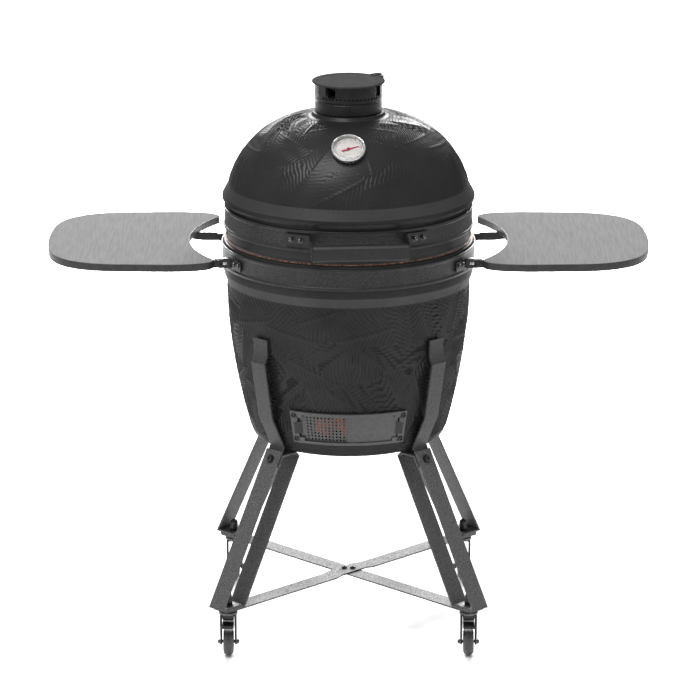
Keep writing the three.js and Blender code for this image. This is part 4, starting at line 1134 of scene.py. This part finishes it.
def build_shelf_fittings(side, name):
    """Both brackets of one shelf, with their screws and pivot pins."""
    band_radius = box_mm("base_band")[1].x
    pins, screws = [], []
    for end, row in ((-1, "front"), (1, "rear")):
        slot = block(PIVOT_X - 17, PIVOT_X - 6, -3, 3, PIVOT_Z - 3, PIVOT_Z + 3)
        slot = at(slot, 0, end * BRACKET_Y, 0)
        if side < 0:
            slot = moved(slot, Matrix.Scale(-1, 4, (1, 0, 0)))
        refined(f"shelf_bracket_{row}_{name}", BLACK, "root", 0.5, (slot,))
        y = end * BRACKET_Y
        x = side * PIVOT_X
        pins.append(tube(((x, y - end * 3.4, PIVOT_Z), (x, y + end * 9.5, PIVOT_Z)), 3.2, 20))
        pins.append(placed(screw_head(5.6, 3.2), (x, y + end * 7.4, PIVOT_Z), (0, end, 0)))
        for angle in BRACKET_SCREW_ANGLES:
            from_front = side * angle if end < 0 else 180 - side * angle
            place = on_ring(from_front, band_radius + 3.6, BRACKET_SCREW_Z)
            screws.append(placed(screw_head(4.4, 3.4), *place))
    trim(f"shelf_pivot_pins_{name}", BLACK, "root", *pins)
    trim(f"shelf_bracket_screws_{name}", SCREW, "root", *screws)


# ---------------- stand

LEG_SPLAY = 0.545
LEG_REACH, LEG_HEIGHT = 239, 382
STEM_REACH = 353.6
FOOT_TOP = 118
LEG_BOLT_Z = 404
LEG_PLATE = 2.4
BRACE_BOLT_X = 9


def build_stand():
    splay = Vector((1, 0, LEG_SPLAY)).normalized()
    reach = LEG_REACH + (LEG_HEIGHT - LEG_BOLT_Z) * LEG_SPLAY
    face = (reach + LEG_PLATE, 0, LEG_BOLT_Z)
    for name, bearing in CORNERS:
        turn = about_z(bearing)
        refined(f"support_arm_{name}", ARM, "root", 0.8)
        for node in (f"leg_outer_{name}", f"leg_inner_{name}"):
            refined(node, STRAP, "root", 0.8)
        for fitting, parts in (
                ("leg_bolt", (placed(washer(9.5, 3.5, 1.4), face, splay),
                              placed(screw_head(6.8, 5.0), Vector(face) + splay * 1.4, splay))),
                ("stem_nut", (at(acorn_nut(9.5, 26), STEM_REACH, 0, FOOT_TOP - 2.4),
                              at(washer(12, 5.8, 1.6), STEM_REACH, 0, FOOT_TOP - 3.6),
                              at(screw_head(4.2, 3.2), STEM_REACH + 14, 9, FOOT_TOP - 6.2))),
                ("arm_pad", (block(248.4, 251.4, -15, 15, 640, 660),))):
            trim(f"{fitting}_{name}", BLACK, "root", *(moved(part, turn) for part in parts))
    for node in ("brace_upper", "brace_lower"):
        brace = refined(node, BRACE, "root", 0.5)
        # Upright faces are black and the rest keep the light grey, so the lit tops are painted.
        second_coat(brace, BLACK, lambda out, z, up: abs(up) < 0.4)
    top = box_mm("brace_upper")[1].z
    bottom = box_mm("brace_lower")[0].z
    bolts = []
    for x in (-BRACE_BOLT_X, BRACE_BOLT_X):
        bolts.append(at(hex_nut(6.2, 4.6), x, 0, top))
        bolts.append(placed(hex_nut(6.2, 4.6), (x, 0, bottom), (0, 0, -1)))
        bolts.append(tube(((x, 0, bottom - 9), (x, 0, top + 6)), 2.8, 16))
    trim("brace_bolts", BLACK, "root", *bolts)


# ---------------- casters

WHEEL_RADIUS = 30
WHEEL_HALF = 11
WHEEL_TRAIL = 12
TREAD_ROUND = 10                # the tread's rounding, measured from the rim
FORK_HALF = WHEEL_HALF + 4.2
FORK_EDGES = ((-14.4, 5.4), (15.2, 18.4))       # an edge's Y at the head, and at the axle


def wheel_part(axle_height):
    """A tyre with a rounded tread, round a recessed hub. Its lowest point is on the floor."""
    radius = min(WHEEL_RADIUS, axle_height)
    tread = [(radius - TREAD_ROUND * (1 - math.sin(math.radians(a))),
              -WHEEL_HALF * math.cos(math.radians(a))) for a in range(12, 169, 12)]
    hub = [(4.2, 1), (9, 1), (11, 3.5), (17, 3.5), (19, 0.4)]
    near = [(across, -WHEEL_HALF + depth) for across, depth in hub]
    far = [(across, WHEEL_HALF - depth) for across, depth in reversed(hub)]
    wheel = turned(near + tread + far, 72)
    return placed(wheel, (0, WHEEL_TRAIL, axle_height), (1, 0, 0))


def build_casters():
    axle_height = box_mm("caster_wheel_front_left")[1].z / 2
    raceway = turned(rounded([(17.1, 94.6), (19.5, 95, 1), (19.5, 100.5, 1.5), (17.1, 101)], 1), 40)
    wheel = wheel_part(axle_height)
    trims, edges = [raceway], []
    for side in (-1, 1):
        trims.append(placed(acorn_nut(5.4, 6), (side * 17, WHEEL_TRAIL, axle_height), (side, 0, 0)))
        for head_y, axle_y in FORK_EDGES:
            path = [(side * FORK_HALF, y, z) for y, z in ((head_y, 95), (head_y, 79), (axle_y, 26))]
            edges.append(tube(path, 2.1, 10))
    housing = joined(rounded_block(-11.5, 11.5, -2.5, 11, 79.2, 92.8, 2),
                     rounded_block(-12.5, 12.5, -14.5, -12, 88, 93, 1))
    for name, bearing in CORNERS:
        turn = math.radians(bearing)
        x, y = STEM_REACH * math.cos(turn), STEM_REACH * math.sin(turn)
        fork = f"fork_{name}"
        refined(f"caster_fork_{name}", BLACK, fork, 0.5)
        trim(f"caster_fork_edges_{name}", BLACK, fork, at(joined(*edges), x, y, 0))
        trim(f"caster_trim_{name}", SCREW, fork, at(joined(*trims), x, y, 0))
        make_piece(f"caster_tyre_{name}", at(wheel, x, y, 0), RUBBER, f"wheel_{name}",
                   (f"caster_wheel_{name}",))
        if name.startswith("front"):
            refined(f"caster_brake_{name}", BLACK, f"brake_{name}", 0.9)
            trim(f"caster_housing_{name}", BLACK, fork, at(housing, x, y, 0))


# ---------------- studio

def add_area(name, location, target, size, power):
    light = bpy.data.lights.new(name, "AREA")
    light.shape = "RECTANGLE"
    light.size, light.size_y = size
    light.energy = power
    obj = bpy.data.objects.new(name, light)
    obj.location = location
    obj.rotation_euler = (Vector(target) - Vector(location)).to_track_quat("-Z", "Y").to_euler()
    bpy.context.scene.collection.objects.link(obj)


def build_studio():
    scene = bpy.context.scene
    scene.view_settings.view_transform = "Standard"
    world = bpy.data.worlds.new("studio")
    world.use_nodes = True
    background = world.node_tree.nodes["Background"]
    background.inputs["Color"].default_value = (1, 1, 1, 1)
    background.inputs["Strength"].default_value = 0.7
    scene.world = world
    finish = coat("pale_floor", (0.7,), shades(0.90, 0.93), Roughness=0.9, Specular_IOR_Level=0.1)
    half = 14000
    floor = make_object("floor", block(-half, half, -half, half, -40, -0.2))
    floor.data.materials.append(finish)
    centre = (0, 0, 0.85)
    add_area("rear_left_box", (-1.25, 4.6, 2.8), centre, (1.7, 1.5), 380)
    add_area("rear_right_box", (1.25, 4.6, 2.8), centre, (1.7, 1.5), 380)
    add_area("top_key", (-0.9, -1.3, 3.8), (0, 0, 0.7), (1.5, 1.5), 80)
    add_area("backdrop_wash", (0, 7.5, 5.0), (0, 8.5, 0), (9.0, 4.0), 260)
    camera = bpy.data.cameras.new("camera")
    camera.lens = 219.9
    camera.sensor_width = 36
    viewer = bpy.data.objects.new("camera", camera)
    viewer.location = (0.0032, -8.6727, 2.9991)
    viewer.rotation_euler = (math.radians(74.5), 0, 0)
    scene.collection.objects.link(viewer)
    scene.camera = viewer


# ---------------- the whole grill

build_bowl()
build_embers()
build_band("base_band", "root")
build_band("lid_band", "lid")
build_gasket("base_gasket", "root")
build_gasket("lid_gasket", "lid")
build_firebox()
build_cooking_grate()
refined("charcoal_grate", IRON, "root", 0.8)
build_vent()
build_dome()
build_thermometer()
build_handle()
build_damper()
build_hinge()
build_shelves()
build_stand()
build_casters()
build_studio()
